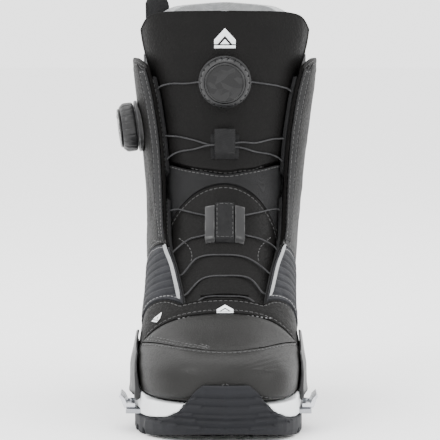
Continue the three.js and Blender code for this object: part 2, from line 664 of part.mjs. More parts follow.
// ---------------------------------------------------------------- upper
const shellLayer = { outer: 0, inner: upperThickness };
const toeColumns = bothWays([0, 0.09, 0.18, 0.27, 0.36, 0.46, 0.56, 0.61, 0.66, 0.71, bottomEdge]);
const toePanelColumns = bothWays([0, 0.09, 0.18, 0.27, 0.36]);
add(
  "toe_cap",
  panel({ ...standing(toeColumns), ...shellLayer, from: 0.02, to: (a) => toeSeam(a) - half, rows: 7 }),
  "leather",
);
add(
  "toe_panel",
  panel({
    ...standing(toePanelColumns), ...shellLayer, from: (a) => toeSeam(a) + half, to: toeLine - half,
    rows: 3,
  }),
  "leather",
);
const vampColumns = bothWays([0, 0.08, 0.15, 0.2, 0.27, 0.36, 0.46, 0.56, 0.61, 0.66, 0.71, bottomEdge]);
const vamp = panel({
  ...standing(vampColumns), ...shellLayer, from: toeLine + half, to: (a) => vampEnd(a) - half, rows: 4,
});
add("vamp", vamp, "leather");

const counterEdge = 0.66;
const counterHalf = [0.66, 0.71, 0.755, 0.76, 0.765, 0.77, 0.775, 0.78, 0.82, 0.86, 0.91, 0.96, 1];
const counterColumns = [...counterHalf, ...counterHalf.slice(0, -1).reverse().map((angle) => 2 - angle)];
// clear of the sole of the foot
const counterFrom = (angle) => table([[0.755, 9.4], [0.78, 12.7]], mirror(angle));
const heelCounter = (outer, inner = upperThickness) =>
  panel({
    ...standing(counterColumns), outer, inner, from: counterFrom, to: (a) => cuffLine(a) - half, rows: 8,
  });
add("heel_counter", heelCounter(0), "leather");
const heelClip = heelClipBlock(0).subtract(upperForm).subtract(heelCounter(-fitGap));
add(
  "heel_clip", largest(cutAll(heelClip, heelClipScrews.map((z) => facingBack(screwHole(2.6), z)))),
  "plastic",
);
add("midsole", largest(midsoleBlank.subtract(heelCounter(-fitGap))), "foam");
add(
  "lasting_board",
  panel({
    angles: [0.785, 1.215], from: 2.2, to: 12.5, outer: 0.3, inner: upperThickness, columns: 6, rows: 10,
  }),
  "plastic",
);

const quarters = {};
const cuffs = {};
for (const [name, side] of Object.entries(sides)) {
  const edge = (t) => openingAngle(t, side);
  quarters[name] = panel({
    side, ...shellLayer, angles: [edge, counterEdge - 0.008], from: (a) => vampEnd(a) + half,
    to: (a) => cuffLine(a) - half, columns: 8, rows: 8,
  });
  cuffs[name] = panel({
    side, ...shellLayer, angles: [edge, 0.9988], from: (a) => cuffLine(a) + half, to: cuffTop,
    columns: 11, rows: 11, crowd: 1.5,
  });
}

// ---------------------------------------------------------------- places for the laces
const openingAt = (side, z) => {
  const height = heightOf(z);
  return frontPlace(side * table(openingEdge, z), height).t;
};
// A lace point in a guide at height z, so far behind the opening's edge, and one in its mouth.
const inGuide = (side, z, behind, depth = laceDepth) => {
  const t = openingAt(side, z);
  return skin(t, openingAngle(t, side) + behind, side, depth);
};
const mouth = (side, z) => inGuide(side, z, -0.008, laceDepth + 0.5);
// A lace point lying on the tongue at x and height z.
const overTongue = (x, z, raise = 0.5) => {
  const height = heightOf(z);
  const place = frontPlace(x, height, underTongue);
  return skin(place.t, place.angle, place.side, tongueOutside(place.t, place.angle) - laceRadius - raise);
};

// ---------------------------------------------------------------- dials
const dialRadius = dialDiameter / 2;
const flangeRadius = dialRadius + 1;
const cupRadius = dialRadius - 2.5;
const toothCount = 14;
const spoolTop = 7;
const diskRadius = cupRadius - 3.1;
const lugs = [0, 120, 240];
const star = (count, low, high, depth, z) => {
  const points = Array.from({ length: count * 2 }, (_, i) => {
    const [turn, r] = [(i * Math.PI) / count, i % 2 ? low : high];
    return new THREE.Vector2(r * Math.cos(turn), r * Math.sin(turn));
  });
  return solidOf(prism(points, depth).translate(0, 0, z));
};
const lugBlocks = (grow, low, high) =>
  lugs.map((turn) => block(5.6 - grow, 8.6 + grow, -1.5 - grow, 1.5 + grow, low, high).rotate([0, 0, turn]));
// Local z runs outward from the surface that the dial sits on.
function dialSolids() {
  const housing = lathed(
    [
      [0, -9], [flangeRadius, -9], [flangeRadius, 1.6], [flangeRadius - 0.6, 2.2], [cupRadius, 2.2],
      [cupRadius, 8.5], [0, 8.5],
    ],
    26,
  )
    .subtract(star(toothCount, diskRadius + 0.4, diskRadius + 1.4, 10, 5.6))
    .subtract(
      lathed([[3.4, 2.2], [diskRadius + 0.4, 2.2], [diskRadius + 0.4, 9], [0, 9], [0, 7.2], [3.4, 7.2]]),
    )
    .subtract(lathed([[0, 2.6], [screwRadius + 0.3, 2.6], [screwRadius + 0.3, 9], [0, 9]], 14));
  const spool = lathed(
    [[3.7, 2.6], [9, 2.6], [9, 3.4], [6.6, 3.4], [6.6, 6.2], [9, 6.2], [9, spoolTop], [3.7, spoolTop]],
    12,
  );
  const disk = lathed(
    [[screwRadius + 0.4, 7.5], [diskRadius, 7.5], [diskRadius, 9.1], [screwRadius + 0.4, 9.1]], 14,
  );
  const drive = cutAll(disk, lugBlocks(fitGap, 7, 10));
  const top = 13.5;
  const grip = star(16, dialRadius - 0.8, dialRadius, top - 3, 3).intersect(
    lathed(
      [
        [0, 3], [dialRadius, 3], [dialRadius + 1, 4.4], [dialRadius + 1, top - 2.6],
        [dialRadius - 1.6, top], [0, top],
      ],
      20,
    ),
  );
  const hollow = lathed(
    [[0, 2], [dialRadius - 2, 2], [dialRadius - 2, 9.4], [dialRadius - 3.2, 10.6], [0, 10.6]], 20,
  );
  const knob = lugBlocks(0, 8, 11).reduce((all, lug) => all.add(lug), grip.subtract(hollow));
  const cap = lathed(
    [
      [0, top + 0.3], [dialRadius - 3.6, top + 0.3], [dialRadius - 3.6, top + 0.9],
      [dialRadius - 4.4, top + 1.6], [0, top + 1.9],
    ],
    20,
  );
  const axle = lathed(
    [[0, 3], [screwRadius, 3], [screwRadius, 9.3], [3.1, 9.3], [3.1, 10], [2.4, 10.4], [0, 10.4]], 14,
  );
  return { housing, spool, drive, knob, cap, axle };
}
function frameAt(t, angle, side, inset, toward) {
  const origin = skin(t, angle, side, inset);
  const along = skin(t + 0.05, angle, side, inset).sub(skin(t - 0.05, angle, side, inset));
  const across = skin(t, angle + 0.004, side, inset).sub(skin(t, angle - 0.004, side, inset));
  const normal = along.clone().cross(across).normalize();
  if (normal.dot(skin(t, angle, side, inset - 5).sub(origin)) < 0) normal.negate();
  const x = toward.clone().addScaledVector(normal, -toward.dot(normal)).normalize();
  return new THREE.Matrix4().makeBasis(x, normal.clone().cross(x), normal).setPosition(origin);
}
const placed = (solid, frame) => solid.transform(frame.elements);
const local = (frame, x, y, z) => new THREE.Vector3(x, y, z).applyMatrix4(frame);

const frontDialHeight = 236.6;
const frontDialStation = stationAtHeight(heightOf(frontDialHeight), dialDepth);
const frontDial = frameAt(frontDialStation, 0, 1, dialDepth, X);
// The side dial sits on the lateral cuff.
const sideDialTarget = { y: -46 * lengthScale, z: heightOf(202) };
const sideAngle = (t) => solve(0.1, 0.8, (a) => skin(t, a, -1, 0).y - sideDialTarget.y);
const sideStation = solve(11, 20, (t) => skin(t, sideAngle(t), -1, 0).z - sideDialTarget.z);
const guideEntry = { t: openingAt(-1, 151), angle: openingAngle(openingAt(-1, 151), -1) + 0.06 };
const sideDial = frameAt(
  sideStation, sideAngle(sideStation), -1, 0,
  skin(guideEntry.t, guideEntry.angle, -1, 0).sub(skin(sideStation, sideAngle(sideStation), -1, 0)),
);

// ---------------------------------------------------------------- laces
const insertX = 9.6; // middle of the loop's plastic inserts
const insertTurn = (side, fromZ, toZ) => {
  const step = (toZ - fromZ) / 12;
  return [
    overTongue(side * 14.5, fromZ, 0.5), overTongue(side * 11.2, fromZ + step, 1.1),
    overTongue(side * insertX, fromZ + 3.2 * step, 1.2),
    overTongue(side * insertX, toZ - 3.2 * step, 1.2), overTongue(side * 11.2, toZ - step, 1.1),
    overTongue(side * 14.5, toZ, 0.5),
  ];
};
// Down one guide: in at one height, out at another.
const downGuide = (side, fromZ, toZ, behind = 0.024) => {
  const z = (share) => mix(fromZ, toZ, share);
  return [
    mouth(side, fromZ), inGuide(side, z(0.1), behind * 0.75), inGuide(side, z(0.3), behind),
    inGuide(side, z(0.7), behind),
    inGuide(side, z(0.9), behind * 0.75), mouth(side, toZ),
  ];
};
function upperLace(side, topZ, outZ, endZ, raise) {
  const dialEnd = [
    [7.8, 4.8], [10.3, 4.5], [13.2, 3.2], [15.6, 2], [17.8, 1.3],
  ].map(([x, z]) => local(frontDial, side * x, 0, z));
  const throughLoop = [12, 6, 0, -6, -12].map(
    (x) => overTongue(side * x, 190.4 + (side * side * x) / 10, raise),
  );
  return [
    ...dialEnd, overTongue(side * 27, frontDialHeight - 1.4), overTongue(side * 40, topZ + 1.6),
    ...downGuide(side, topZ, outZ),
    overTongue(side * 34, outZ - 2.4), overTongue(side * 22, outZ - 4.6), ...throughLoop,
    overTongue(-side * 22, endZ + 5), overTongue(-side * 34, endZ + 2.2), mouth(-side, endZ),
    inGuide(-side, endZ - 1.6, 0.018), inGuide(-side, endZ - 4, 0.026),
  ];
}
const arch = (fromX, toX, z, rise) => [0.22, 0.5, 0.78].map(
  (u) => overTongue(mix(fromX, toX, u), z + rise * (1 - Math.pow(2 * u - 1, 2)) ),
);
function lowerLace() {
  const leave = [
    [8, 4.8], [9.6, 4.8], [10.9, 3.9], [11.5, 2], [11.8, 0],
  ].map(([x, z]) => local(sideDial, x, 0, z));
  const start = { t: sideStation, angle: sideAngle(sideStation) };
  const bare = [0.3, 0.5, 0.7, 0.88].map(
    (u) => skin(mix(start.t, guideEntry.t, u), mix(start.angle, guideEntry.angle, u), -1, sleeve),
  );
  return [
    ...leave, local(sideDial, 12.6, 0, -2.4), local(sideDial, 15.5, 0, -sleeve), ...bare.slice(1),
    inGuide(-1, 150.5, 0.045), inGuide(-1, 148.4, 0.018), mouth(-1, 146.2), overTongue(-34, 144.6),
    overTongue(-24, 143.2),
    ...insertTurn(-1, 141.6, 128), overTongue(-26, 124.6), ...downGuide(-1, 121, 107.6),
    ...arch(-33, 29.5, 107.8, 7), ...downGuide(1, 107.6, 95.2),
    ...arch(29.8, -28, 95, 5.8), ...downGuide(-1, 95.2, 83.4), ...arch(-28, 29, 83, 4), mouth(1, 83.2),
    inGuide(1, 80.8, 0.02), inGuide(1, 81.5, 0.052),
    inGuide(1, 88, 0.064), inGuide(1, 100, 0.064), inGuide(1, 112, 0.06), inGuide(1, 118.6, 0.03),
    mouth(1, 121), overTongue(26, 124.6),
    ...insertTurn(1, 128, 141.6), overTongue(24, 143), overTongue(34, 144), mouth(1, 145.2),
    inGuide(1, 146.6, 0.018), inGuide(1, 149, 0.028),
  ];
}
const laces = {
  lace_upper_lateral: cordOf(upperLace(-1, 233, 199, 181, 0.5), 58),
  lace_upper_medial: cordOf(upperLace(1, 231, 197, 183, 2.2), 58),
  lace_lower: cordOf(lowerLace(), 122),
};
function cordOf(points, steps) {
  return {
    points, steps, solid: cord(points, laceRadius, steps),
    bore: cord(points, laceRadius + laceGap, steps),
  };
}
const bores = Object.values(laces).map((lace) => lace.bore);

// ---------------------------------------------------------------- upper, where the laces run
const guideStrip = (side, z0, z1, reach) => {
  const [t0, t1] = [openingAt(side, z0), openingAt(side, z1)];
  const edge = (t) => openingAngle(t, side);
  return panel({
    side, angles: [(t) => edge(t) - 0.004, (t) => edge(t) + reach], from: t0, to: t1,
    outer: underUpper + 0.46, inner: guideInside, columns: 4, rows: 12,
  });
};
for (const [name, side] of Object.entries(sides)) {
  add(`quarter_${name}`, quarters[name], "textile");
  add(`cuff_${name}`, side < 0 ? cutAll(cuffs[name], bores) : cuffs[name], "leather");
  add(`lace_guide_upper_${name}`, largest(cutAll(guideStrip(side, 174, 241, 0.05), bores)), "webbing");
  add(`lace_guide_lower_${name}`, largest(cutAll(guideStrip(side, 79, 154, 0.085), bores)), "webbing");
  const edge = (t) => openingAngle(t, side);
  // a raised facing along the opening, and a piping on the quarter
  const facing = (t) => edge(t) + mix(0.03, 0.055, smooth(9.4, 13, t));
  const dialRoom = side < 0 ? [
    placed(
      lathed([[0, -20], [flangeRadius + fitGap, -20], [flangeRadius + fitGap, 20], [0, 20]], 32),
      sideDial,
    ),
  ] : [];
  add(`opening_facing_${name}`, largest(cutAll(panel({
    side, angles: [(t) => edge(t) + 0.002, facing], from: (a) => cuffLine(a) + 0.16,
    to: (a) => cuffTop(a) - 0.15,
    outer: -overlayThickness, inner: -fitGap, columns: 3, rows: 14,
  }), dialRoom)), "leather");
  add(`quarter_piping_${name}`, panel({
    side, angles: [(t) => edge(t) + 0.002, (t) => edge(t) + 0.016], from: (a) => vampEnd(a) + 0.1,
    to: (a) => cuffLine(a) - 0.1,
    outer: -overlayThickness, inner: -fitGap, columns: 2, rows: 8,
  }), "binding");
}
add(
  "backstay",
  panel({
    angles: [0.93, 1.07], from: 15.6, to: 20, outer: -overlayThickness - 0.2, inner: -fitGap, columns: 4,
    rows: 10,
  }),
  "leather",
);

// ---------------------------------------------------------------- tongue
const dome = (angle) => table(domeRows, Math.abs(angle));
const domeRows = [[0, 165], [10, 163.4], [20, 157], [29, 147], [36, 134], [39, 122]].map(([x, z]) => {
  const place = frontPlace(x || 0.01, heightOf(z), dialDepth);
  return [x ? place.angle : 0, place.t];
});
const domeEdge = domeRows[domeRows.length - 1][0];
const flexSeamRows = [[0.01, 171], [20, 173.4], [41, 178]].map(([x, z]) => {
  const place = frontPlace(x, heightOf(z), dialDepth);
  return [place.angle, place.t];
});
const flexSeam = (angle) => table([...flexSeamRows, [0.4, flexSeamRows[2][1] + 0.25]], Math.abs(angle));
const tongueLayer = { outer: tongueOutside, inner: tongueInside };
const reachBoth = [(t) => -tongueReach(t, -1), (t) => tongueReach(t, 1)];
const domeShares = [0, 0.3, 0.55, 0.75, 0.9, 1].map((share) => share * domeEdge);
const lowerReach = (side) => (t) => side * Math.min(domeEdge, tongueReach(t, side));
add("tongue_lower", panel({
  ...standing(bothWays(domeShares)), ...tongueLayer, angles: [lowerReach(-1), lowerReach(1)],
  from: tongueBase, to: (a) => dome(a) - half, rows: 9,
}), "leather");
const flexWing = [[domeEdge + 0.016, 9.9], [wingReach, 9.2]]; // beside the lower panel, as [angle, station]
const flexColumns = bothWays([...domeShares, ...flexWing.map(([angle]) => angle)]);
const flexFrom = (angle) => table([[domeEdge, dome(angle) + half], ...flexWing], Math.abs(angle));
add(
  "tongue_flex",
  panel({
    ...standing(flexColumns), ...tongueLayer, from: flexFrom, to: (a) => flexSeam(a) - 2.2 * half,
    rows: 5,
  }),
  "stretch",
);
const tongueUpper = panel({
  angles: reachBoth, ...tongueLayer, from: (a) => flexSeam(a) + half, to: tongueTop, columns: 12, rows: 8,
});
add("tongue_upper", tongueUpper, "leather");

// ---------------------------------------------------------------- lace loops and badge on the tongue
const patch = (x0, x1, z0, z1, outer, inner, cells = [4, 3]) => {
  const place = (x, z) => frontPlace(x, heightOf(z), underTongue);
  const z = (z0 + z1) / 2;
  return panel({
    angles: [x0, x1].map((x) => Math.sign(x) * place(x, z).angle), from: place(0.01, z0).t,
    to: place(0.01, z1).t, outer, inner, columns: cells[0], rows: cells[1],
  });
};
const above = (rise) => (t, angle) => tongueOutside(t, angle) - rise;
add(
  "lace_loop_upper",
  largest(
    cutAll(
      patch(-7, 7, 182, 200, above(4.9), above(0.4), [3, 3]).add(
        patch(-10.2, 10.2, 182.6, 199.4, above(1.3), above(0.4), [3, 3]),
      ),
      bores,
    ),
  ),
  "webbing",
);
add("lace_loop_lower", patch(-6.6, 6.6, 124, 149, above(3), above(0.4), [4, 6]), "webbing");
for (const [name, side] of Object.entries(sides)) {
  const [x0, x1] = [7.1 * side, 13.6 * side].sort((a, b) => a - b);
  add(
    `loop_insert_${name}`,
    largest(cutAll(patch(x0, x1, 124.6, 146.6, above(3.4), above(0.25), [4, 8]), bores)), "plastic",
  );
}
add("tongue_badge", patch(-7.5, 7.5, 261, 275, above(1.4), above(0.3)), "badge");

// ---------------------------------------------------------------- the dials and laces in place
const dialSeat = 0.35; // clearance under a dial's housing
const seats = {
  front: { frame: frontDial, under: dialDepth - dialSeat },
  side: { frame: sideDial, under: -dialSeat },
};
const dialParts = {
  housing: "plastic", spool: "plastic", drive: "plastic", knob: "plastic", cap: "gloss", axle: "steel",
};
for (const [place, { frame, under }] of Object.entries(seats)) {
  const solids = dialSolids();
  for (const [part, look] of Object.entries(dialParts)) {
    let solid = placed(solids[part], frame);
    if (part === "housing") solid = largest(cutAll(solid.subtract(envelope(under)), bores));
    add(`${place}_dial_${part}`, solid, look);
  }
}
for (const [name, lace] of Object.entries(laces)) add(name, lace.solid, "lace");

// ---------------------------------------------------------------- liner
const outerRows = [
  1, 2, 3, 4, 5, 5.9, 6.5, 7.2, 7.9, 8.6, 9.3, 10.1, 11, 11.8, 12.3, 12.7, 13, 13.3, 13.8, 14.6, 16, 17.8,
];
const innerRows = [1.5, 3, 4.6, 6.2, 8, 9.5, 11, 12.2, 13, 14, 16];
const linerInside = (t, angle) => linerSkin(t, angle) + linerThickness;
const slotAngle = 0.13;
const slot = (spare) =>
  panel({
    angles: [-slotAngle - spare, slotAngle + spare], from: 9 - spare * 10, to: 22,
    outer: (t, a) => linerSkin(t, a) - 4,
    inner: (t, a) => linerInside(t, a) + 4, columns: 6, rows: 18,
  });
const rimAngles = even(18).map((share) => mix(slotAngle + 0.03, 1, share));
const aboveRim = Object.values(sides).map((side) =>
  panel({
    side, ...standing([-0.02, 0.07, ...rimAngles, 1.02]), from: linerTop, to: 22,
    outer: (t, a) => linerSkin(t, a) - 3, inner: (t, a) => linerInside(t, a) + 3, rows: 8,
  }),
);
const sock = cutAll(
  body({ thin: 2, sections: outerRows, from: 0.3, to: 21, inset: linerSkin }),
  [body({ thin: 2, sections: innerRows, from: 0.5, to: 22, inset: linerInside }), ...aboveRim],
);
add(
  "liner_shell", largest(sock.subtract(slot(0.006)).subtract(heelCounter(0.6, upperThickness + 0.7))),
  "liner",
);
add("liner_tongue", largest(sock.intersect(slot(0))), "liner");
add("liner_collar_binding", panel({
  ...standing([...rimAngles, ...rimAngles.map((a) => 2 - a).reverse().slice(1)]),
  from: (a) => linerTop(a) + 0.05, to: (a) => linerTop(a) + 0.35,
  outer: (t, a) => linerSkin(t, a) - 0.4, inner: (t, a) => linerInside(t, a) + 0.4, rows: 1,
}), "binding");
add("footbed", panel({
  angles: [0.83, 1.17], from: 3.2, to: 11.6, outer: (t, a) => linerInside(t, a) + 0.95,
  inner: (t, a) => linerInside(t, a) + 0.95 + footbedThickness, columns: 6, rows: 10,
}), "foam");
add("liner_pull_tab", panel({
  angles: [1.21, 1.35], from: 19.5, to: (a) => 21.4 - 80 * Math.pow(a - 1.28, 2),
  outer: (t, a) => linerSkin(t, a) - 3, inner: (t, a) => linerSkin(t, a) - 1, columns: 4, rows: 5,
}), "webbing");
const loopOuter = [[20, 212], [40, 214], [47, 222], [47, 234], [40, 243], [20, 246]];
const loopHole = [[20, 217], [38.4, 218], [43.6, 224], [43.6, 232.5], [38.4, 239], [20, 241]];
const scaled = (points) => points.map(([y, z]) => [y * lengthScale + 2, heightOf(z)]);
const strap = sideCut(scaled(loopOuter), -10, 10).subtract(sideCut(scaled(loopHole), -12, 12)).subtract(
  envelope(-overlayThickness - 0.2 - 0.35),
);
add("rear_pull_loop", strap, "webbing");

export default boot;
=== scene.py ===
"""The looks of the snowboard boot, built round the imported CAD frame. Metres, +Z up, toe towards -Y."""
import json
import math

import bmesh
import bpy
import numpy as np
from mathutils import Matrix, Vector, noise
from mathutils.bvhtree import BVHTree
from mathutils.geometry import delaunay_2d_cdt
from mathutils.kdtree import KDTree


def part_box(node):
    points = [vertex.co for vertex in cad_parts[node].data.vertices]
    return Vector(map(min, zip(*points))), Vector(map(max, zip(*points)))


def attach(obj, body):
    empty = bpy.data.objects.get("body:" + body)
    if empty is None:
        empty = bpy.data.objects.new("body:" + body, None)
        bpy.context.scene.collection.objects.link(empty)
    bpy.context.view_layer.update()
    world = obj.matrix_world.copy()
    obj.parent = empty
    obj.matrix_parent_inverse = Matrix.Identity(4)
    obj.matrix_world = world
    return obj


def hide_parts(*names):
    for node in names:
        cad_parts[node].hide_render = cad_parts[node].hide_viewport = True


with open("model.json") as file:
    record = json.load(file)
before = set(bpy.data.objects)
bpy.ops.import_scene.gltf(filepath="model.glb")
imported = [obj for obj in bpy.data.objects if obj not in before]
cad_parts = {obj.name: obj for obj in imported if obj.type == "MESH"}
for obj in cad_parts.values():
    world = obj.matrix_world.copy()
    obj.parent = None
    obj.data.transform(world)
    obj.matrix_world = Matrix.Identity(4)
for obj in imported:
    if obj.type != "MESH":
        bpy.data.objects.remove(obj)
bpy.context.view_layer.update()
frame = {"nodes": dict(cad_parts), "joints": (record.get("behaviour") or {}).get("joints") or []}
NODES = frame["nodes"]
SIDES = {"lateral": -1, "medial": 1}
ROOT = "boot"
MM = 0.001
CAMERA_PLACE = (-0.0035, -2.212, 0.320)
CAMERA_PITCH = math.radians(4.95)
LENS = 241


# ---------------------------------------------------------------- camera, light and floor
def look_at(thing, target):
    thing.rotation_euler = (Vector(target) - thing.location).to_track_quat("-Z", "Y").to_euler()


def make_camera():
    """A long lens in front of the toe, a little above the boot's middle."""
    data = bpy.data.cameras.new("camera")
    camera = bpy.data.objects.new("camera", data)
    bpy.context.scene.collection.objects.link(camera)
    data.sensor_width = 36
    data.lens = LENS
    data.clip_end = 20
    camera.location = CAMERA_PLACE
    x, y, z = CAMERA_PLACE
    look_at(camera, (x, 0, z + y * math.tan(CAMERA_PITCH)))
    bpy.context.scene.camera = camera
    return camera


def area_light(name, place, target, size, energy, tint=(1, 1, 1)):
    data = bpy.data.lights.new(name, "AREA")
    data.shape, data.size, data.size_y = "RECTANGLE", size[0], size[1]
    data.energy, data.color = energy, tint
    light = bpy.data.objects.new(name, data)
    light.location = place
    bpy.context.scene.collection.objects.link(light)
    look_at(light, target)
    return light


def make_studio():
    world = bpy.data.worlds.new("studio")
    bpy.context.scene.world = world
    world.use_nodes = True
    world.node_tree.nodes["Background"].inputs["Color"].default_value = (1, 1, 1, 1)
    world.node_tree.nodes["Background"].inputs["Strength"].default_value = 2.6
    middle = (0, -0.1, 0.14)
    area_light("key", (-1.1, -1.3, 1.5), middle, (0.9, 0.9), 22)
    area_light("fill", (1.4, -1.2, 0.9), middle, (1.0, 1.2), 12)
    area_light("top", (0, 0.1, 1.7), middle, (1.4, 1.4), 14)
    area_light("rim_left", (-1.3, 0.7, 0.7), middle, (0.5, 1.2), 4)
    area_light("rim_right", (1.3, 0.7, 0.7), middle, (0.5, 1.2), 4)
    bpy.ops.mesh.primitive_plane_add(size=14, location=(0, 0, -0.0006))
    floor = bpy.context.object
    floor.name = "floor"
    floor.data.materials.append(plain_material("floor_paper", (0.97, 0.97, 0.97), 0.85))


# ---------------------------------------------------------------- material building blocks
class Nodes:
    """A short way to write a material's node tree."""

    def __init__(self, name, colour, roughness, metallic=0.0):
        self.material = bpy.data.materials.new(name)
        self.material.use_nodes = True
        self.tree = self.material.node_tree
        self.shader = self.tree.nodes["Principled BSDF"]
        self.shader.inputs["Base Color"].default_value = (*colour, 1)
        self.shader.inputs["Roughness"].default_value = roughness
        self.shader.inputs["Metallic"].default_value = metallic
        self.place = self.add("ShaderNodeTexCoord").outputs["Object"]

    def add(self, kind, **values):
        node = self.tree.nodes.new(kind)
        for key, value in values.items():
            if hasattr(node, key):
                setattr(node, key, value)
        return node

    def join(self, source, target):
        self.tree.links.new(source, target)

    def put(self, node, name, value):
        socket = node.inputs[name]
        if isinstance(value, bpy.types.NodeSocket):
            self.join(value, socket)
        else:
            socket.default_value = value

    def scaled(self, scale, turn=(0, 0, 0)):
        node = self.add("ShaderNodeMapping")
        self.join(self.place, node.inputs["Vector"])
        node.inputs["Scale"].default_value = scale
        node.inputs["Rotation"].default_value = turn
        return node.outputs["Vector"]

    def noise(self, scale, detail=2.0, rough=0.5, at=None):
        node = self.add("ShaderNodeTexNoise")
        self.join(at or self.place, node.inputs["Vector"])
        node.inputs["Scale"].default_value = scale
        node.inputs["Detail"].default_value = detail
        node.inputs["Roughness"].default_value = rough
        return node.outputs["Fac"]

    def cells(self, scale, feature="F1", at=None, smooth=0.0):
        node = self.add("ShaderNodeTexVoronoi", feature=feature)
        self.join(at or self.place, node.inputs["Vector"])
        node.inputs["Scale"].default_value = scale
        if feature == "SMOOTH_F1":
            node.inputs["Smoothness"].default_value = smooth
        return node.outputs["Distance"]

    def wave(self, scale, at=None, profile="SIN", direction="X", distort=0.0):
        node = self.add("ShaderNodeTexWave", wave_profile=profile, bands_direction=direction)
        self.join(at or self.place, node.inputs["Vector"])
        node.inputs["Scale"].default_value = scale
        node.inputs["Distortion"].default_value = distort
        return node.outputs["Fac"]

    def ramp(self, value, low, high, out=(0.0, 1.0)):
        node = self.add("ShaderNodeMapRange")
        node.clamp = True
        for name, number in (("From Min", low), ("From Max", high), ("To Min", out[0]), ("To Max", out[1])):
            node.inputs[name].default_value = number
        self.join(value, node.inputs["Value"])
        return node.outputs["Result"]

    def math(self, operation, a, b):
        node = self.add("ShaderNodeMath", operation=operation)
        self.put(node, 0, a)
        self.put(node, 1, b)
        return node.outputs["Value"]

    def blend(self, share, a, b):
        node = self.add("ShaderNodeMix", data_type="RGBA")
        self.put(node, 0, share)
        node.inputs[6].default_value = (*a, 1)
        node.inputs[7].default_value = (*b, 1)
        return node.outputs[2]

    def bump(self, height, distance, strength=1.0, under=None):
        node = self.add("ShaderNodeBump")
        node.inputs["Distance"].default_value = distance
        node.inputs["Strength"].default_value = strength
        self.join(height, node.inputs["Height"])
        if under:
            self.join(under, node.inputs["Normal"])
        return node.outputs["Normal"]

    def edge_wear_and_highlight(self, low=0.56, high=0.66):
        """1 on outward edges: real wear on leather and rubber, a painted highlight on plastic."""
        geometry = self.add("ShaderNodeNewGeometry")
        return self.ramp(geometry.outputs["Pointiness"], low, high)

    def finish(self, normal=None, colour=None, roughness=None):
        if normal:
            self.join(normal, self.shader.inputs["Normal"])
        if colour:
            self.join(colour, self.shader.inputs["Base Color"])
        if roughness:
            self.join(roughness, self.shader.inputs["Roughness"])
        return self.material


def plain_material(name, colour, roughness):
    made = Nodes(name, colour, roughness)
    grain = made.noise(40, 4)
    tone = made.blend(grain, colour, tuple(c * 0.97 for c in colour))
    return made.finish(colour=tone)


def leather(name, colour, worn, roughness=0.5, pebble=0.16, size=620, shine=0.08):
    """Pebbled synthetic leather: a cellular grain over soft creases, lighter where it is rubbed."""
    made = Nodes(name, colour, roughness)
    cells = made.cells(size, "SMOOTH_F1", smooth=0.35)
    fine = made.noise(size * 2.2, 3)
    grain = made.math("ADD", made.ramp(cells, 0.15, 0.75), made.math("MULTIPLY", fine, 0.35))
    creases = made.noise(55, 4, 0.55)
    soft = made.bump(creases, 0.4 * MM, 0.15)
    normal = made.bump(grain, pebble * MM, 0.9, soft)
    patches = made.noise(28, 5, 0.6)
    share = made.math(
        "ADD", made.ramp(patches, 0.35, 0.75, (0, 0.3)), made.math("MULTIPLY", made.edge_wear_and_highlight(), 0.4),
    )
    tone = made.blend(share, colour, worn)
    rough = made.math(
        "ADD", made.ramp(cells, 0.1, 0.8, (roughness - 0.06, roughness + 0.12)),
        made.ramp(patches, 0.3, 0.8, (-0.05, 0.06)),
    )
    made.shader.inputs["Specular IOR Level"].default_value = shine
    return made.finish(normal, tone, rough)


def ribbed_textile(name, colour, light):
    """A quilted textile whose ribs lie close together over a fine weave."""
    made = Nodes(name, colour, 0.85)
    made.shader.inputs["Specular IOR Level"].default_value = 0.15
    weave_a = made.wave(420, made.scaled((1, 1, 1), (0.5, 0.6, 0.3)), distort=0.6)
    weave_b = made.wave(420, made.scaled((1, 1, 1), (-0.5, 0.4, 1.9)), distort=0.6)
    weave = made.math("MULTIPLY", weave_a, weave_b)
    fluff = made.noise(900, 3)
    height = made.math("ADD", weave, made.math("MULTIPLY", fluff, 0.4))
    tone = made.blend(made.ramp(made.noise(90, 5, 0.65), 0.3, 0.75), colour, light)
    made.shader.inputs["Sheen Weight"].default_value = 0.04
    made.shader.inputs["Sheen Roughness"].default_value = 0.4
    return made.finish(made.bump(height, 0.18 * MM, 0.9), tone)


def woven(name, colour, light, count=650, roughness=0.8, sheen=0.25):
    """A plain weave of two crossing thread directions."""
    made = Nodes(name, colour, roughness)
    made.shader.inputs["Specular IOR Level"].default_value = 0.15
    warp = made.wave(count, made.scaled((1, 1, 1), (0.2, 0.1, 0.785)), distort=0.3)
    weft = made.wave(count, made.scaled((1, 1, 1), (0.1, 0.785, -0.6)), distort=0.3)
    height = made.math("MAXIMUM", warp, weft)
    tone = made.blend(made.ramp(made.math("MULTIPLY", height, made.noise(220, 4)), 0.1, 0.6), colour, light)
    made.shader.inputs["Sheen Weight"].default_value = sheen
    return made.finish(made.bump(height, 0.14 * MM, 0.8), tone)


def knit(name, colour, light, rib=150):
    """Zigzag knit ribs, as on the liner's lining."""
    made = Nodes(name, colour, 0.92)
    made.shader.inputs["Specular IOR Level"].default_value = 0.15
    zig = made.wave(rib, made.scaled((1, 1, 0.35)), profile="TRI", direction="Z", distort=0.0)
    ribs = made.wave(rib * 1.4, made.scaled((1, 1, 0.2), (0, 0, 0.2)), direction="DIAGONAL", distort=1.2)
    height = made.math("ADD", made.math("MULTIPLY", zig, 0.6), ribs)
    fluff = made.noise(800, 3)
    tone = made.blend(made.ramp(made.math("ADD", height, fluff), 0.5, 2.0), colour, light)
    made.shader.inputs["Sheen Weight"].default_value = 0.15
    return made.finish(
        made.bump(made.math("ADD", height, made.math("MULTIPLY", fluff, 0.5)), 0.7 * MM, 0.8), tone,
    )


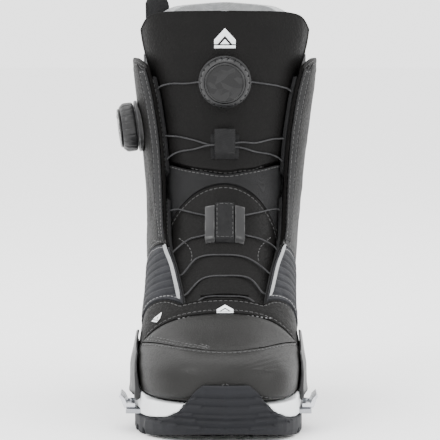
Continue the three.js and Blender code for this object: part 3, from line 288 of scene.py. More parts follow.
def rubber(name, colour, light, roughness=0.62):
    made = Nodes(name, colour, roughness)
    grit = made.noise(1500, 3)
    mottled = made.noise(45, 5, 0.6)
    made.shader.inputs["Specular IOR Level"].default_value = 0.18
    tone = made.blend(
        made.math(
            "ADD", made.ramp(mottled, 0.35, 0.75, (0, 0.6)), made.math("MULTIPLY", made.edge_wear_and_highlight(), 0.6),
        ),
        colour, light,
    )
    rough = made.ramp(mottled, 0.3, 0.7, (roughness - 0.08, roughness + 0.1))
    return made.finish(made.bump(grit, 0.05 * MM, 0.7), tone, rough)


def foam(name, colour, shade):
    """Moulded foam with a fine skin texture and a little scuffing."""
    made = Nodes(name, colour, 0.6)
    skin = made.cells(900, "SMOOTH_F1", smooth=0.5)
    scuff = made.noise(30, 6, 0.7)
    tone = made.blend(made.ramp(scuff, 0.42, 0.8), colour, shade)
    made.shader.inputs["Subsurface Weight"].default_value = 0.05
    made.shader.inputs["Subsurface Radius"].default_value = (0.002, 0.002, 0.002)
    return made.finish(made.bump(skin, 0.06 * MM, 0.6), tone)


def plastic(name, colour, light, roughness=0.4, texture=0.04):
    made = Nodes(name, colour, roughness)
    made.shader.inputs["Specular IOR Level"].default_value = 0.3
    spark = made.noise(1900, 2)
    cloudy = made.noise(60, 4)
    # Painted highlight: outward edges are painted lighter, standing in for the gloss on moulded edges,
    # broken up by noise.
    painted_edge_highlight = made.math("MULTIPLY", made.edge_wear_and_highlight(0.54, 0.64), made.ramp(made.noise(200, 4), 0.4, 0.7))
    tone = made.blend(painted_edge_highlight, colour, light)
    rough = made.ramp(cloudy, 0.3, 0.7, (roughness - 0.05, roughness + 0.08))
    return made.finish(made.bump(spark, texture * MM, 0.6), tone, rough)


def steel(name, colour, roughness=0.26):
    """Brushed steel with fine scratches along one way."""
    made = Nodes(name, colour, roughness, 1.0)
    brush = made.noise(400, 4, 0.6, made.scaled((1, 14, 1)))
    rough = made.ramp(brush, 0.3, 0.7, (roughness - 0.08, roughness + 0.14))
    tone = made.blend(made.ramp(made.noise(35, 5), 0.4, 0.75), colour, tuple(c * 0.72 for c in colour))
    return made.finish(made.bump(brush, 0.02 * MM, 0.5), tone, rough)


BLACK = (0.0038, 0.0036, 0.0035)
LOOKS = {}


def make_looks():
    LOOKS.update(
        leather=leather("pebbled_leather", BLACK, (0.011, 0.0104, 0.01)),
        smooth_leather=leather(
            "smooth_leather", (0.0075, 0.0073, 0.0068), (0.018, 0.0175, 0.017), 0.42, 0.07, 900, 0.2,
        ),
        stretch=woven("stretch_fabric", (0.0045, 0.0045, 0.0048), (0.009, 0.009, 0.0095), 1100, 0.62, 0.03),
        textile=ribbed_textile("ribbed_textile", (0.011, 0.0113, 0.0132), (0.026, 0.0266, 0.03)),
        webbing=woven("black_webbing", (0.005, 0.005, 0.0053), (0.013, 0.013, 0.0135), 480, 0.8, 0.02),
        binding=woven("grey_binding", (0.19, 0.195, 0.2), (0.33, 0.335, 0.34), 620),
        thread=woven("black_thread", (0.02, 0.02, 0.02), (0.055, 0.055, 0.055), 1500, 0.6),
        grey_thread=woven("grey_thread", (0.12, 0.12, 0.125), (0.22, 0.22, 0.22), 1500, 0.6),
        liner=knit("liner_knit", (0.01, 0.01, 0.0105), (0.032, 0.032, 0.033)),
        fleece=knit("liner_fleece", (0.016, 0.016, 0.017), (0.04, 0.04, 0.041), 260),
        foam=foam("white_foam", (0.76, 0.78, 0.79), (0.6, 0.61, 0.61)),
        rubber=rubber("outsole_rubber", (0.0055, 0.0058, 0.0075), (0.015, 0.0155, 0.018)),
        shell=plastic("shell_plastic", (0.008, 0.008, 0.0085), (0.05, 0.05, 0.05), 0.4),
        plastic=plastic("black_plastic", (0.011, 0.011, 0.0115), (0.06, 0.06, 0.06), 0.34),
        gloss=plastic("gloss_cap", (0.004, 0.004, 0.0043), (0.02, 0.02, 0.02), 0.12, 0.0),
        steel=steel("steel", (0.56, 0.57, 0.6)),
        dark_steel=steel("dark_steel", (0.32, 0.33, 0.35), 0.3),
        lace=woven("coated_lace", (0.018, 0.018, 0.019), (0.05, 0.05, 0.052), 1400, 0.42, 0.0),
        badge=foam("badge_rubber", (0.74, 0.76, 0.77), (0.62, 0.63, 0.63)),
        board=plastic("board_plastic", (0.02, 0.02, 0.02), (0.05, 0.05, 0.05), 0.55),
    )


# ---------------------------------------------------------------- meshes
def new_piece(name, bm, look, body=ROOT, smooth=True):
    """A finished piece from a bmesh, riding on a body."""
    mesh = bpy.data.meshes.new(name)
    bm.to_mesh(mesh)
    bm.free()
    piece = bpy.data.objects.new(name, mesh)
    bpy.context.scene.collection.objects.link(piece)
    mesh.materials.append(LOOKS[look])
    for polygon in mesh.polygons:
        polygon.use_smooth = smooth
    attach(piece, body)
    return piece


def quads_of(node):
    """The CAD node's mesh, welded, with its triangles joined back into four-sided faces."""
    bm = bmesh.new()
    bm.from_mesh(NODES[node].data)
    bmesh.ops.remove_doubles(bm, verts=bm.verts, dist=2e-6)
    bmesh.ops.join_triangles(
        bm, faces=bm.faces, angle_face_threshold=math.radians(50), angle_shape_threshold=math.radians(50),
        cmp_seam=False, cmp_sharp=False, cmp_uvs=False, cmp_vcols=False, cmp_materials=False,
    )
    return bm


def applied(bm, *modifiers):
    """A bmesh after modifiers, each given as (type, {setting: value})."""
    mesh = bpy.data.meshes.new("work")
    bm.to_mesh(mesh)
    bm.free()
    holder = bpy.data.objects.new("work", mesh)
    bpy.context.scene.collection.objects.link(holder)
    for kind, settings in modifiers:
        modifier = holder.modifiers.new(kind, kind)
        for key, value in settings.items():
            setattr(modifier, key, value)
    bpy.context.view_layer.update()
    evaluated = holder.evaluated_get(bpy.context.evaluated_depsgraph_get())
    out = bmesh.new()
    out.from_mesh(evaluated.to_mesh())
    evaluated.to_mesh_clear()
    bpy.data.objects.remove(holder)
    bpy.data.meshes.remove(mesh)
    return out


def refined(node, levels=2, sharp=42, rim=1.2 * MM):
    """The node as a smooth surface with its rim kept in place and rounded over."""
    bm = quads_of(node)
    crease = bm.edges.layers.float.get("crease_edge") or bm.edges.layers.float.new("crease_edge")
    limit = math.radians(sharp)
    for edge in bm.edges:
        if len(edge.link_faces) == 2 and edge.calc_face_angle(0) > limit:
            edge[crease] = 1.0
    bm = applied(bm, ("SUBSURF", {"levels": levels, "render_levels": levels, "use_limit_surface": False}))
    if rim:
        bm = applied(
            bm,
            (
                "BEVEL",
                {"width": rim, "segments": 3, "limit_method": "ANGLE", "angle_limit": math.radians(48)},
            ),
        )
    return bm


def tube(points, radius, sides=10, closed=False):
    """A round cord along points, with flat ends."""
    points = [Vector(p) for p in points]
    bm = bmesh.new()
    rings = []
    count = len(points)
    normal = None
    for i, point in enumerate(points):
        after = points[(i + 1) % count] if closed or i < count - 1 else point
        before = points[i - 1] if closed or i > 0 else point
        along = (after - before).normalized()
        if normal is None:
            normal = along.orthogonal().normalized()
        normal = (normal - along * normal.dot(along)).normalized()
        other = along.cross(normal)
        r = radius[i] if hasattr(radius, "__len__") else radius
        ring = []
        for k in range(sides):
            turn = 2 * math.pi * k / sides
            ring.append(bm.verts.new(point + normal * (r * math.cos(turn)) + other * (r * math.sin(turn))))
        rings.append(ring)
    spans = count if closed else count - 1
    for i in range(spans):
        a, b = rings[i], rings[(i + 1) % count]
        for k in range(sides):
            bm.faces.new((a[k], a[(k + 1) % sides], b[(k + 1) % sides], b[k]))
    if not closed:
        bm.faces.new(list(reversed(rings[0])))
        bm.faces.new(rings[-1])
    bmesh.ops.recalc_face_normals(bm, faces=bm.faces)
    return bm


# ---------------------------------------------------------------- the boot's surfaces
SPINE = [Vector((0, -0.21, 0.035)), Vector((0, -0.05, 0.06)), Vector((0, -0.03, 0.3))]


def outward(point):
    """The direction from the middle of the foot and leg to a point."""
    best = None
    for a, b in zip(SPINE, SPINE[1:]):
        along = b - a
        share = min(1, max(0, (point - a).dot(along) / along.length_squared))
        away = point - (a + along * share)
        if best is None or away.length < best.length:
            best = away
    return best.normalized()


def split_rims(bm, sharp=40):
    """The closed loops where a panel's outer face meets its cut edge, with the way in over the face."""
    limit = math.radians(sharp)
    bm.normal_update()
    outer = {face.index for face in bm.faces if face.normal.dot(outward(face.calc_center_median())) > 0.5}
    links = {}
    inwards = {}
    for edge in bm.edges:
        faces = edge.link_faces
        if len(faces) != 2 or faces[0].normal.angle(faces[1].normal, 0) < limit:
            continue
        kinds = [face.index in outer for face in faces]
        if kinds[0] == kinds[1]:
            continue
        face = faces[0] if kinds[0] else faces[1]
        a, b = edge.verts
        along = (b.co - a.co).normalized()
        into = face.calc_center_median() - (a.co + b.co) / 2
        into = (into - along * into.dot(along)).normalized()
        for v, w in ((a, b), (b, a)):
            links.setdefault(v.index, []).append(w.index)
            inwards.setdefault(v.index, Vector())
            inwards[v.index] += into
    bm.verts.ensure_lookup_table()
    loops = []
    seen = set()
    for start in links:
        if start in seen:
            continue
        loop, here, last = [], start, None
        while here is not None and here not in seen:
            seen.add(here)
            loop.append(here)
            onward = [w for w in links[here] if w != last and w not in seen]
            last, here = here, onward[0] if onward else None
        if len(loop) > 12:
            loops.append([(bm.verts[i].co.copy(), inwards[i].normalized()) for i in loop])
    return loops


def resampled(points, step, closed=True):
    """Points an even step apart along a path."""
    path = points + [points[0]] if closed else points
    out, carry = [], 0.0
    for a, b in zip(path, path[1:]):
        length = (b - a).length
        at = carry
        while at < length:
            out.append(a.lerp(b, at / length))
            at += step
        carry = at - length
    return out


def smoothed(points, times, closed=True):
    for _ in range(times):
        count = len(points)
        if closed:
            points = [(points[i - 1] + points[i] * 2 + points[(i + 1) % count]) / 4 for i in range(count)]
        else:
            inner = [(points[i - 1] + points[i] * 2 + points[i + 1]) / 4 for i in range(1, count - 1)]
            points = [points[0]] + inner + [points[-1]]
    return points


class Surface:
    """A refined piece's shape, kept for laying seams and trims on it."""

    def __init__(self, bm):
        self.tree = BVHTree.FromBMesh(bm)

    def nearest(self, point):
        place, normal, _, _ = self.tree.find_nearest(point)
        return place, normal

    def hit(self, origin, way):
        place, normal, _, _ = self.tree.ray_cast(Vector(origin), Vector(way))
        return place, normal


SURFACES = {}
RIMS = {}


def hit_any(names, origin, way):
    """The first place where a ray meets any of the pieces."""
    best = None
    for name in names:
        place, normal = SURFACES[name].hit(origin, way)
        if place is not None and (
            best is None or (place - Vector(origin)).length < (best[0] - Vector(origin)).length
        ):
            best = (place, normal)
    return best


def front_path(names, places, lift=0.0, step=0.8 * MM):
    """A path given as (x, z) in millimetres, laid on the pieces as seen from the toe."""
    flat = [Vector((x * MM, 0, z * MM)) for x, z in places]
    out = []
    for point in resampled(smoothed(resampled(flat, 4 * MM, False) + [flat[-1]], 3, False), step, False):
        found = hit_any(names, (point.x, -0.5, point.z), (0, 1, 0))
        if found:
            out.append((found[0] + found[1] * lift, found[1]))
    return out


def offset_path(name, loop, inset, step=0.7 * MM):
    """A rim's loop moved in over the outer face and laid on it, with the face's normals."""
    rim = [p for p, _ in loop]
    moved = [p + way * inset for p, way in loop]
    moved = smoothed(resampled(moved, step), 4)
    out = []
    for point in moved:
        place, normal = SURFACES[name].nearest(point)
        near = min((place - p).length for p in rim)
        out.append((place, normal) if near > inset * 0.72 else None)
    return out


def stitches(path, length=2.6 * MM, gap=1.0 * MM, radius=0.3 * MM, rise=0.16 * MM, keep=None):
    """A row of thread stitches along a path of (place, normal), each end going down into the face."""
    bm = bmesh.new()
    rows = [[]]
    for item in path:
        if item is None or (keep and not keep(item[0])):
            if rows[-1]:
                rows.append([])
            continue
        rows[-1].append(item)
    sides = 6
    arch = ((0.0, -0.9, 0.6), (0.12, 0.1, 1.0), (0.5, 0.55, 1.05), (0.88, 0.1, 1.0), (1.0, -0.9, 0.6))
    for row in rows:
        if len(row) < 6:
            continue
        spans = [0.0]
        for (a, _), (b, _) in zip(row, row[1:]):
            spans.append(spans[-1] + (b - a).length)
        total = spans[-1]
        count = int((total + gap) / (length + gap))
        if not count:
            continue
        index = 0
        spare = (total - count * (length + gap) + gap) / 2

        def at(distance):
            nonlocal index
            while index < len(spans) - 2 and spans[index + 1] < distance:
                index += 1
            while index > 0 and spans[index] > distance:
                index -= 1
            share = (distance - spans[index]) / max(spans[index + 1] - spans[index], 1e-9)
            a, b = row[index], row[index + 1]
            return a[0].lerp(b[0], share), a[1].lerp(b[1], share).normalized(), (b[0] - a[0]).normalized()

        for k in range(count):
            start = spare + k * (length + gap)
            rings = []
            for share, height, wide in arch:
                place, normal, along = at(start + share * length)
                other = along.cross(normal).normalized()
                centre = place + normal * (rise * height)
                ring = [
                    bm.verts.new(
                        centre + normal * (radius * wide * math.sin(t))
                        + other * (radius * wide * math.cos(t))
                    )
                    for t in (2 * math.pi * j / sides for j in range(sides))
                ]
                rings.append(ring)
            for a, b in zip(rings, rings[1:]):
                for j in range(sides):
                    bm.faces.new((a[j], a[(j + 1) % sides], b[(j + 1) % sides], b[j]))
            bm.faces.new(rings[0])
            bm.faces.new(list(reversed(rings[-1])))
    bmesh.ops.recalc_face_normals(bm, faces=bm.faces)
    return bm


# ---------------------------------------------------------------- soft panels
def sharp_places(bm, sharp=40):
    limit = math.radians(sharp)
    bm.normal_update()
    places = set()
    for edge in bm.edges:
        if len(edge.link_faces) == 2 and edge.link_faces[0].normal.angle(
            edge.link_faces[1].normal, 0,
        ) > limit:
            places.update(v.index for v in edge.verts)
    bm.verts.ensure_lookup_table()
    return [bm.verts[i].co.copy() for i in places]


def tree_of(places):
    tree = KDTree(len(places))
    for i, place in enumerate(places):
        tree.insert(place, i)
    tree.balance()
    return tree


def quilted(bm, sink, reach, wrinkle=0.0, size=0.02, shape=None):
    """Sinks a panel's outer face towards its stitched edge and gives it the unevenness of a sewn skin."""
    edges = tree_of(sharp_places(bm))
    bm.normal_update()
    moves = []
    for v in bm.verts:
        if v.normal.dot(outward(v.co)) < 0.35:
            moves.append(None)
            continue
        away = edges.find(v.co)[2]
        down = sink * math.exp(-((away / reach) ** 2)) if away > 1e-5 else sink
        wave = wrinkle * noise.noise(v.co / size) * min(1, away / reach)
        moves.append(v.normal * (wave - down - (shape(v.co, away) if shape else 0)))
    for v, move in zip(bm.verts, moves):
        if move is not None:
            v.co += move
    return bm


def inflated(node, voxel=5 * MM, last=20):
    """The node's cover before and after its filling pushes it out as cloth, as two lists of places."""
    bm = bmesh.new()
    bm.from_mesh(NODES[node].data)
    bmesh.ops.remove_doubles(bm, verts=bm.verts, dist=2e-6)
    bm = applied(bm, ("REMESH", {"mode": "VOXEL", "voxel_size": voxel}))
    mesh = bpy.data.meshes.new("cover")
    bm.to_mesh(mesh)
    before = [v.co.copy() for v in bm.verts]
    bm.normal_update()
    held = [v.index for v in bm.verts if v.normal.dot(outward(v.co)) < 0.5]
    bm.free()
    cover = bpy.data.objects.new("cover", mesh)
    bpy.context.scene.collection.objects.link(cover)
    cover.vertex_groups.new(name="held").add(held, 1.0, "REPLACE")
    cloth = cover.modifiers.new("cloth", "CLOTH")
    cloth.settings.vertex_group_mass = "held"
    cloth.settings.use_pressure = True
    cloth.settings.uniform_pressure_force = 4
    cloth.settings.effector_weights.gravity = 0
    cloth.point_cache.frame_start, cloth.point_cache.frame_end = 1, last
    scene = bpy.context.scene
    for number in range(1, last + 1):
        scene.frame_set(number)
    shown = cover.evaluated_get(bpy.context.evaluated_depsgraph_get())
    after = [v.co.copy() for v in shown.data.vertices]
    bpy.data.objects.remove(cover)
    bpy.data.meshes.remove(mesh)
    scene.frame_set(1)
    return before, after


def swelling(node, most=1.6 * MM):
    """How far in a panel's face lies at a place, as its filling swells it, for soft_piece's shape."""
    before, after = inflated(node)
    tree = tree_of(before)
    rises = [max(0.0, (b - a).dot(outward(a))) for a, b in zip(before, after)]
    tallest = max(max(rises), 1e-6)

    def shape(place, away):
        near = tree.find_n(place, 6)
        weights = [1 / (distance + MM) for _, _, distance in near]
        rise = sum(w * rises[index] for w, (_, index, _) in zip(weights, near)) / sum(weights)
        return -most * rise / tallest * min(1, away / (5 * MM))

    return shape


def soft_piece(
    node, look, levels=2, rim=0.9 * MM, sink=0.5 * MM, reach=4 * MM, wrinkle=0.25 * MM, shape=None,
):
    """A CAD panel as the sewn piece it is."""
    bm = refined(node, levels, rim=0)
    RIMS[node] = split_rims(bm)
    quilted(bm, sink, reach, wrinkle, shape=shape)
    SURFACES[node] = Surface(bm)
    if rim:
        bm = applied(
            bm,
            (
                "BEVEL",
                {"width": rim, "segments": 3, "limit_method": "ANGLE", "angle_limit": math.radians(44)},
            ),
        )
    piece = new_piece(node + "_sewn", bm, look)
    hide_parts(node)
    return piece


def seam_rows(name, node, insets, look="thread", slot="webbing", keep=None, loops=(0,), **sizes):
    """Rows of stitching inside a panel's edge."""
    for row, inset in enumerate(insets):
        for which in loops:
            if which < len(RIMS[node]):
                bm = stitches(offset_path(node, RIMS[node][which], inset), keep=keep, **sizes)
                if len(bm.verts):
                    new_piece(f"{name}_row{row}_{which}", bm, look)
                else:
                    bm.free()


def moulded(node, look, voxel=0.9 * MM, smooth=4, shape=None, body=ROOT):
    """A CAD solid with its edges softened as a mould leaves them."""
    bm = bmesh.new()
    bm.from_mesh(NODES[node].data)
    bmesh.ops.remove_doubles(bm, verts=bm.verts, dist=2e-6)
    bm = applied(
        bm, ("REMESH", {"mode": "VOXEL", "voxel_size": voxel}),
        ("SMOOTH", {"factor": 0.5, "iterations": smooth}),
    )
    if shape:
        bm.normal_update()
        moves = [v.normal * shape(v.co, v.normal) for v in bm.verts]
        for v, move in zip(bm.verts, moves):
            v.co += move
    SURFACES[node] = Surface(bm)
    piece = new_piece(node + "_moulded", bm, look, body)
    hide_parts(node)
    return piece


def firm_piece(node, look, body=ROOT, levels=2, rim=0.35 * MM, sharp=32):
    """A CAD solid with round faces made round and its edges broken."""
    bm = refined(node, levels, sharp, rim)
    SURFACES[node] = Surface(bm)
    piece = new_piece(node + "_made", bm, look, body)
    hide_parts(node)
    return piece


# ---------------------------------------------------------------- upper
def ridge_groove(phase, width):
    off = abs(phase - round(phase))
    return math.exp(-((off / width) ** 2))


def chevron_ridges(low, high):
    """Grooves that meet in a V along the side of the foot."""
    middle = (low.y + high.y) / 2 + 6 * MM
    pitch, slope, depth = 7.4 * MM, 0.46, 0.95 * MM

    def shape(place, away):
        phase = (place.z - slope * abs(place.y - middle)) / pitch
        return depth * ridge_groove(
            phase, 0.17,
        ) * min(1, away / (4 * MM)) - 0.25 * MM * min(1, away / (4 * MM))

    return shape


def flex_creases(place, away):
    """Soft creases across the front of the ankle."""
    fold = 0.5 + 0.5 * math.sin((place.z - 0.35 * abs(place.x)) / (2.6 * MM))
    return 0.22 * MM * fold * min(1, away / (6 * MM))


def make_upper():
    leather_panels = {"vamp": 3, "cuff_lateral": 3, "cuff_medial": 3}
    for node, levels in leather_panels.items():
        soft_piece(
            node, "leather", levels, sink=0.8 * MM, reach=5 * MM, wrinkle=0.3 * MM,
            shape=swelling(node),
        )
    soft_piece("toe_cap", "smooth_leather", 3, sink=0.4 * MM, wrinkle=0.2 * MM)
    soft_piece("toe_panel", "smooth_leather", 3, sink=0.45 * MM, wrinkle=0.3 * MM)
    soft_piece("heel_counter", "smooth_leather", 2, wrinkle=0.15 * MM)
    soft_piece("backstay", "smooth_leather", 2)
    for side in SIDES:
        quarter = f"quarter_{side}"
        soft_piece(
            quarter, "textile", 4, shape=chevron_ridges(*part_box(quarter)),
        )
        soft_piece(f"lace_guide_upper_{side}", "webbing", 2, 0.5 * MM, 0.3 * MM)
        soft_piece(f"lace_guide_lower_{side}", "webbing", 2, 0.5 * MM, 0.3 * MM)
        soft_piece(f"opening_facing_{side}", "webbing", 3, 0.5 * MM, 0.3 * MM)
        soft_piece(f"quarter_piping_{side}", "binding", 2, 0.4 * MM, 0.15 * MM)
    soft_piece("rear_pull_loop", "webbing", 2, 0.4 * MM, 0.1 * MM)


def make_tongue():
    soft_piece(
        "tongue_lower", "leather", 3, sink=0.9 * MM, reach=6 * MM, wrinkle=0.2 * MM,
        shape=swelling("tongue_lower", 1.2 * MM),
    )
    soft_piece(
        "tongue_flex", "stretch", 3, sink=0.9 * MM, reach=6 * MM, wrinkle=0.2 * MM,
        shape=flex_creases,
    )
    soft_piece(
        "tongue_upper", "leather", 3, rim=2.2 * MM, sink=1.2 * MM, reach=9 * MM,
        wrinkle=0.3 * MM, shape=swelling("tongue_upper", 1.2 * MM),
    )
    for node in ("lace_loop_upper", "lace_loop_lower"):
        soft_piece(node, "webbing", 2, 0.5 * MM, 0.2 * MM, 2 * MM, 0.1 * MM)
    for side in SIDES:
        firm_piece(f"loop_insert_{side}", "plastic")


def make_liner():
    soft_piece("liner_shell", "liner", 2, 0.8 * MM, 0.2 * MM)
    soft_piece("liner_tongue", "fleece", 2, 0.8 * MM, 0.2 * MM)
    soft_piece("liner_collar_binding", "binding", 3, 0.8 * MM, 0.1 * MM)
    soft_piece("footbed", "fleece", 2, 0.8 * MM, 0.1 * MM)
    soft_piece("liner_pull_tab", "webbing", 2, 0.4 * MM, 0.1 * MM)


# ---------------------------------------------------------------- sole
def bumper_steps(low, high):
    """Overlapping ridges across the toe bumper, with its top edge raised a little."""
    top = high.z
    ridge_heights = [share * top for share in (0.29, 0.41, 0.51, 0.66, 0.8)]

    def shape(place, normal):
        front = max(0.0, -normal.y)
        if place.y > low.y + 62 * MM or place.z < 5 * MM or front < 0.25:
            return 0
        sag = 1.6 * MM * (1 - (place.x / (40 * MM)) ** 2)
        move = 0
        for height in ridge_heights:
            off = place.z - (height - sag)
            if 0 <= off < 4.2 * MM:
                move -= 1.5 * MM * (1 - off / (4.2 * MM))
            elif -1.2 * MM < off < 0:
                move += 0.4 * MM
        rim = top - place.z
        if rim < 2.2 * MM:
            move += 0.3 * MM
        return move * min(1, (front - 0.25) / 0.3)

    return shape


def make_sole():
    moulded(
        "outsole_forefoot", "rubber", 0.8 * MM, 3,
        bumper_steps(*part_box("outsole_forefoot")),
    )
    moulded("outsole_heel", "rubber", 0.9 * MM, 3)
    moulded("midsole", "foam", 1.0 * MM, 4)
    for side in SIDES:
        moulded(f"side_shell_{side}", "shell", 0.6 * MM, 3)
        moulded(f"toe_cleat_{side}", "steel", 0.35 * MM, 2)
        firm_piece(f"cleat_screw_{side}", "dark_steel")
    moulded("heel_clip", "shell", 0.6 * MM, 3)
    firm_piece("cleat_plate", "dark_steel")
    firm_piece("heel_clip_screw_lower", "dark_steel")
    firm_piece("heel_clip_screw_upper", "dark_steel")
    firm_piece("lasting_board", "board")


# ---------------------------------------------------------------- dials
def joint_of(name):
    return next(row for row in frame["joints"] if row["name"] == name)


def axis_frame(place, axis):
    """Carries points in millimetres, with +Z along the axis, to the boot."""
    turn = Vector(axis).to_track_quat("Z", "Y").to_matrix().to_4x4()
    return Matrix.Translation(Vector(place)) @ turn @ Matrix.Scale(MM, 4)


def turned(profile, segments, change=None):
    """A closed lathed ring from (radius, height) points, which may change round the turn."""
    bm = bmesh.new()
    rings = []
    for s in range(segments):
        turn = 2 * math.pi * s / segments
        ring = []
        for k, (r, h) in enumerate(profile):
            if change:
                r, h = change(k, turn, r, h)
            ring.append(bm.verts.new((r * math.cos(turn), r * math.sin(turn), h)))
        rings.append(ring)
    count = len(profile)
    for s in range(segments):
        a, b = rings[s], rings[(s + 1) % segments]
        for k in range(count):
            bm.faces.new((a[k], b[k], b[(k + 1) % count], a[(k + 1) % count]))
    bmesh.ops.recalc_face_normals(bm, faces=bm.faces)
    return bm


def node_profile(node, place, axis):
    """How far a turned CAD node reaches along its axis and out from it, in millimetres."""
    axis = Vector(axis)
    points = [v.co - Vector(place) for v in NODES[node].data.vertices]
    heights = [p.dot(axis) / MM for p in points]
    radii = [(p - axis * p.dot(axis)).length / MM for p in points]
    return min(heights), max(heights), min(radii), max(radii)


def knob(node, place, axis, body):
    """A knob with finger lugs round it and a bevelled rim."""
    low, high, _, out = node_profile(node, place, axis)
    lugs = 22
    inner = out - 3.4
    profile = [
        (inner - 1, low), (
            out - 1.6, low,
        ), (out - 0.5, low + 0.5), (out, low + 1.6), (out, high - 3.6), (out - 0.5, high - 2.4),
        (
            out - 1.7, high - 1.0,
        ), (out - 2.4, high - 0.25), (out - 3.0, high), (inner, high - 0.1), (inner - 0.3, high - 0.9),
        (inner - 1, high - 1.4),
    ]

    def lug(k, turn, r, h):
        off = abs(math.remainder(turn * lugs / (2 * math.pi), 1.0))
        groove = 1 / (1 + math.exp((off - 0.1) * 60)) if k in (4, 5) else 0
        return r - 0.85 * groove, h

    bm = turned(profile, lugs * 12, lug)
    bm.transform(axis_frame(place, axis))
    piece = new_piece(node + "_lugged", bm, "plastic", body)
    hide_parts(node)


def faceted_cap(node, place, axis, body, seed):
    """A glossy cap cut into angular facets inside a plain ring."""
    low, high, _, out = node_profile(node, place, axis)
    rim = turned(
        [
            (out - 2, low), (out, low), (out, high - 0.7), (out - 0.5, high - 0.2), (out - 1.2, high - 0.1),
            (out - 1.6, high - 0.6),
        ],
        96,
    )
    rim.transform(axis_frame(place, axis))
    piece = new_piece(node + "_ring", rim, "gloss", body)
    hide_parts(node)
    random = np.random.default_rng(seed)
    bm = bmesh.new()
    rings = [[bm.verts.new((0.8, -0.6, high - 0.15))]]
    for share, count in ((0.3, 5), (0.55, 9), (0.8, 14), (1.0, 24)):
        r = (out - 1.5) * share
        ring = []
        for k in range(count):
            shift = 0 if share == 1.0 else random.uniform(-0.3, 0.3)
            turn = 2 * math.pi * (k + shift + 0.5 * (count % 2)) / count
            wobble = r * (1 if share == 1.0 else random.uniform(0.88, 1.1))
            height = high - 0.75 if share == 1.0 else high - 0.1 - random.uniform(0, 1.3)
            ring.append(bm.verts.new((wobble * math.cos(turn), wobble * math.sin(turn), height)))
        rings.append(ring)
    flat = [Vector((v.co.x, v.co.y)) for v in bm.verts]
    hull = delaunay_2d_cdt(flat, [], [], 0, 1e-6)
    bm.verts.ensure_lookup_table()
    heights = [v.co.z for v in bm.verts]
    bm.free()
    bm = bmesh.new()
    made = [bm.verts.new((p.x, p.y, heights[hull[3][i][0]])) for i, p in enumerate(hull[0])]
    for face in hull[2]:
        bm.faces.new([made[i] for i in face])
    bmesh.ops.recalc_face_normals(bm, faces=bm.faces)
    bmesh.ops.solidify(bm, geom=bm.faces[:], thickness=-0.5)
    bm.transform(axis_frame(place, axis))
    new_piece(node + "_facets", bm, "gloss", body, smooth=False)


def make_dials():
    for number, dial in enumerate(("front", "side")):
        turn = joint_of(f"{dial}_dial_turn")
        place, axis = turn["pos_m"], turn["axis"]
        grip = f"{dial}_dial_grip"
        firm_piece(f"{dial}_dial_housing", "plastic")
        firm_piece(f"{dial}_dial_axle", "steel")
        firm_piece(f"{dial}_dial_spool", "plastic", f"{dial}_dial_pawl")
        firm_piece(f"{dial}_dial_drive", "plastic", f"{dial}_dial_pawl")
        knob(f"{dial}_dial_knob", place, axis, grip)
        faceted_cap(f"{dial}_dial_cap", place, axis, grip, 11 + number)


# ---------------------------------------------------------------- laces
def centre_line(node):
    """The middle of a CAD cord, ring by ring from one of its ends."""
    bm = bmesh.new()
    bm.from_mesh(NODES[node].data)
    bmesh.ops.remove_doubles(bm, verts=bm.verts, dist=2e-6)
    bm.normal_update()
    bm.faces.ensure_lookup_table()
    cap = None
    done = set()
    for face in bm.faces:
        if face.index in done:
            continue
        group, wait = {face.index}, [face]
        while wait:
            here = wait.pop()
            for edge in here.edges:
                for other in edge.link_faces:
                    if other.index not in group and other.normal.dot(face.normal) > 0.9999:
                        group.add(other.index)
                        wait.append(other)
        done |= group
        verts = {v for i in group for v in bm.faces[i].verts}
        if len(group) == 3 and len(verts) == 5:
            cap = verts
            break
    line, ring, seen = [], cap, set(cap)
    while ring:
        line.append(sum((v.co for v in ring), Vector()) / len(ring))
        ring = {e.other_vert(v) for v in ring for e in v.link_edges} - seen
        seen |= ring
    bm.free()
    return line


def spline(points, per=6):
    """A Catmull-Rom curve through points."""
    out = []
    ends = [points[0] * 2 - points[1]] + points + [points[-1] * 2 - points[-2]]
    for a, b, c, d in zip(ends, ends[1:], ends[2:], ends[3:]):
        for k in range(per):
            t = k / per
            out.append(
                0.5 * (
                    2 * b + (c - a) * t + (2 * a - 5 * b + 4 * c - d) * t * t
                    + (3 * b - a - 3 * c + d) * t ** 3
                )
            )
    return out + [points[-1]]


def make_laces():
    for node in ("lace_upper_lateral", "lace_upper_medial", "lace_lower"):
        bm = tube(spline(centre_line(node)), 0.6 * MM, 12)
        piece = new_piece(node + "_cord", bm, "lace")
        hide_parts(node)


# ---------------------------------------------------------------- trims
def mark(name, centre, normal, up, width, height, look="badge"):
    """A small raised badge: two nested peaks over a bar, rounded at their edges."""
    up = (up - normal * up.dot(normal)).normalized()
    across = up.cross(normal).normalized()
    shapes = [
        [
            (-0.5, -0.08), (0, 0.5), (0.5, -0.08), (0.5, -0.3), (0.34, -0.3), (0, 0.12), (-0.34, -0.3),
            (-0.5, -0.3),
        ],
        [(-0.22, -0.3), (0, -0.04), (0.22, -0.3)],
        [(-0.5, -0.36), (0.5, -0.36), (0.5, -0.5), (-0.5, -0.5)],
    ]
    bm = bmesh.new()
    for shape in shapes:
        ring = [bm.verts.new(centre + across * (x * width) + up * (y * height)) for x, y in shape]
        face = bm.faces.new(ring)
        if face.normal.dot(normal) < 0:
            face.normal_flip()
        made = bmesh.ops.extrude_face_region(bm, geom=[face])
        for item in made["geom"]:
            if isinstance(item, bmesh.types.BMVert):
                item.co += normal * 0.5 * MM
    bmesh.ops.recalc_face_normals(bm, faces=bm.faces)
    bm = applied(bm, ("BEVEL", {"width": 0.16 * MM, "segments": 2, "limit_method": "ANGLE"}))
    return new_piece(name, bm, look)


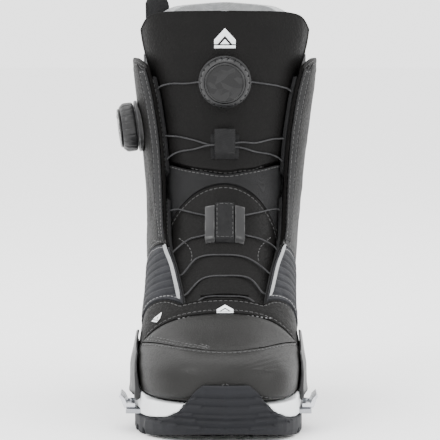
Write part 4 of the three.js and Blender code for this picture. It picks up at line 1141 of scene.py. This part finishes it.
def make_badges():
    low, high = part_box("tongue_badge")
    middle = (low + high) / 2
    place, normal = SURFACES["tongue_upper"].hit((middle.x, -0.5, middle.z), (0, 1, 0))
    piece = mark(
        "tongue_mark", place + normal * 0.15 * MM, normal, Vector((
            0, 0, 1,
        )), high.x - low.x, high.z - low.z,
    )
    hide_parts("tongue_badge")
    throat = ["vamp", "tongue_lower", "toe_panel"]
    found = hit_any(throat, (0, -0.5, 0.082), (0, 1, 0))
    mark("vamp_mark", found[0] + found[1] * 0.1 * MM, found[1], Vector((0, 0, 1)), 11.6 * MM, 8.6 * MM)
    quarter = hit_any(["vamp", "quarter_lateral"], (-0.0465, -0.5, 0.0755), (0, 1, 0))
    mark("side_mark", quarter[0] + quarter[1] * 0.1 * MM, quarter[1], Vector((0, 0, 1)), 6 * MM, 9 * MM)


def make_vamp_trims():
    """The welt across the vamp's throat, the dotted line under it and the arcs beside the tongue."""
    throat = ["vamp", "tongue_lower"]
    welt = front_path(throat, [(-17, 89), (0, 91), (17, 89)], 0.3 * MM)
    new_piece("throat_welt", tube([place for place, _ in welt], 0.8 * MM), "leather")
    dotted = front_path(throat, [(-33, 75.5), (-18, 77.8), (0, 78.2), (18, 77.8), (33, 75.5)])
    new_piece("vamp_dots", stitches(dotted, 1.6 * MM, 1.6 * MM, 0.4 * MM), "grey_thread")
    for side, way in SIDES.items():
        arc = front_path(
            ["tongue_lower"], [(way * x, z) for x, z in ((33, 125), (25, 121), (22, 116), (24, 110))]
        )
        new_piece(f"gusset_arc_{side}", stitches(arc), "thread")


def make_seams():
    front = lambda p: p.y < -0.02
    for side in SIDES:
        seam_rows(f"cuff_stitch_{side}", f"cuff_{side}", (2.6 * MM, 5.2 * MM), keep=front)
        seam_rows(f"quarter_stitch_{side}", f"quarter_{side}", (2.2 * MM,), look="grey_thread")
        seam_rows(f"facing_stitch_{side}", f"opening_facing_{side}", (2.0 * MM,))
        seam_rows(f"guide_stitch_{side}", f"lace_guide_upper_{side}", (1.8 * MM,))
        seam_rows(f"low_guide_stitch_{side}", f"lace_guide_lower_{side}", (1.8 * MM,))
    seam_rows("tongue_stitch", "tongue_upper", (4.8 * MM,))
    seam_rows("flex_stitch", "tongue_flex", (1.8 * MM,))
    seam_rows("tongue_lower_stitch", "tongue_lower", (1.8 * MM,))
    seam_rows("toe_stitch", "toe_cap", (1.8 * MM,))
    seam_rows("toe_panel_stitch", "toe_panel", (1.8 * MM, 4.2 * MM))
    seam_rows("vamp_stitch", "vamp", (2.0 * MM,))
    seam_rows("heel_stitch", "heel_counter", (2.2 * MM, 4.6 * MM))
    seam_rows("backstay_stitch", "backstay", (2.0 * MM,))
    for node in ("lace_loop_upper", "lace_loop_lower"):
        seam_rows(f"{node}_stitch", node, (1.2 * MM,), radius=0.22 * MM)


make_looks()
make_camera()
make_studio()
make_upper()
make_tongue()
make_liner()
make_sole()
make_dials()
make_laces()
make_badges()
make_vamp_trims()
make_seams()
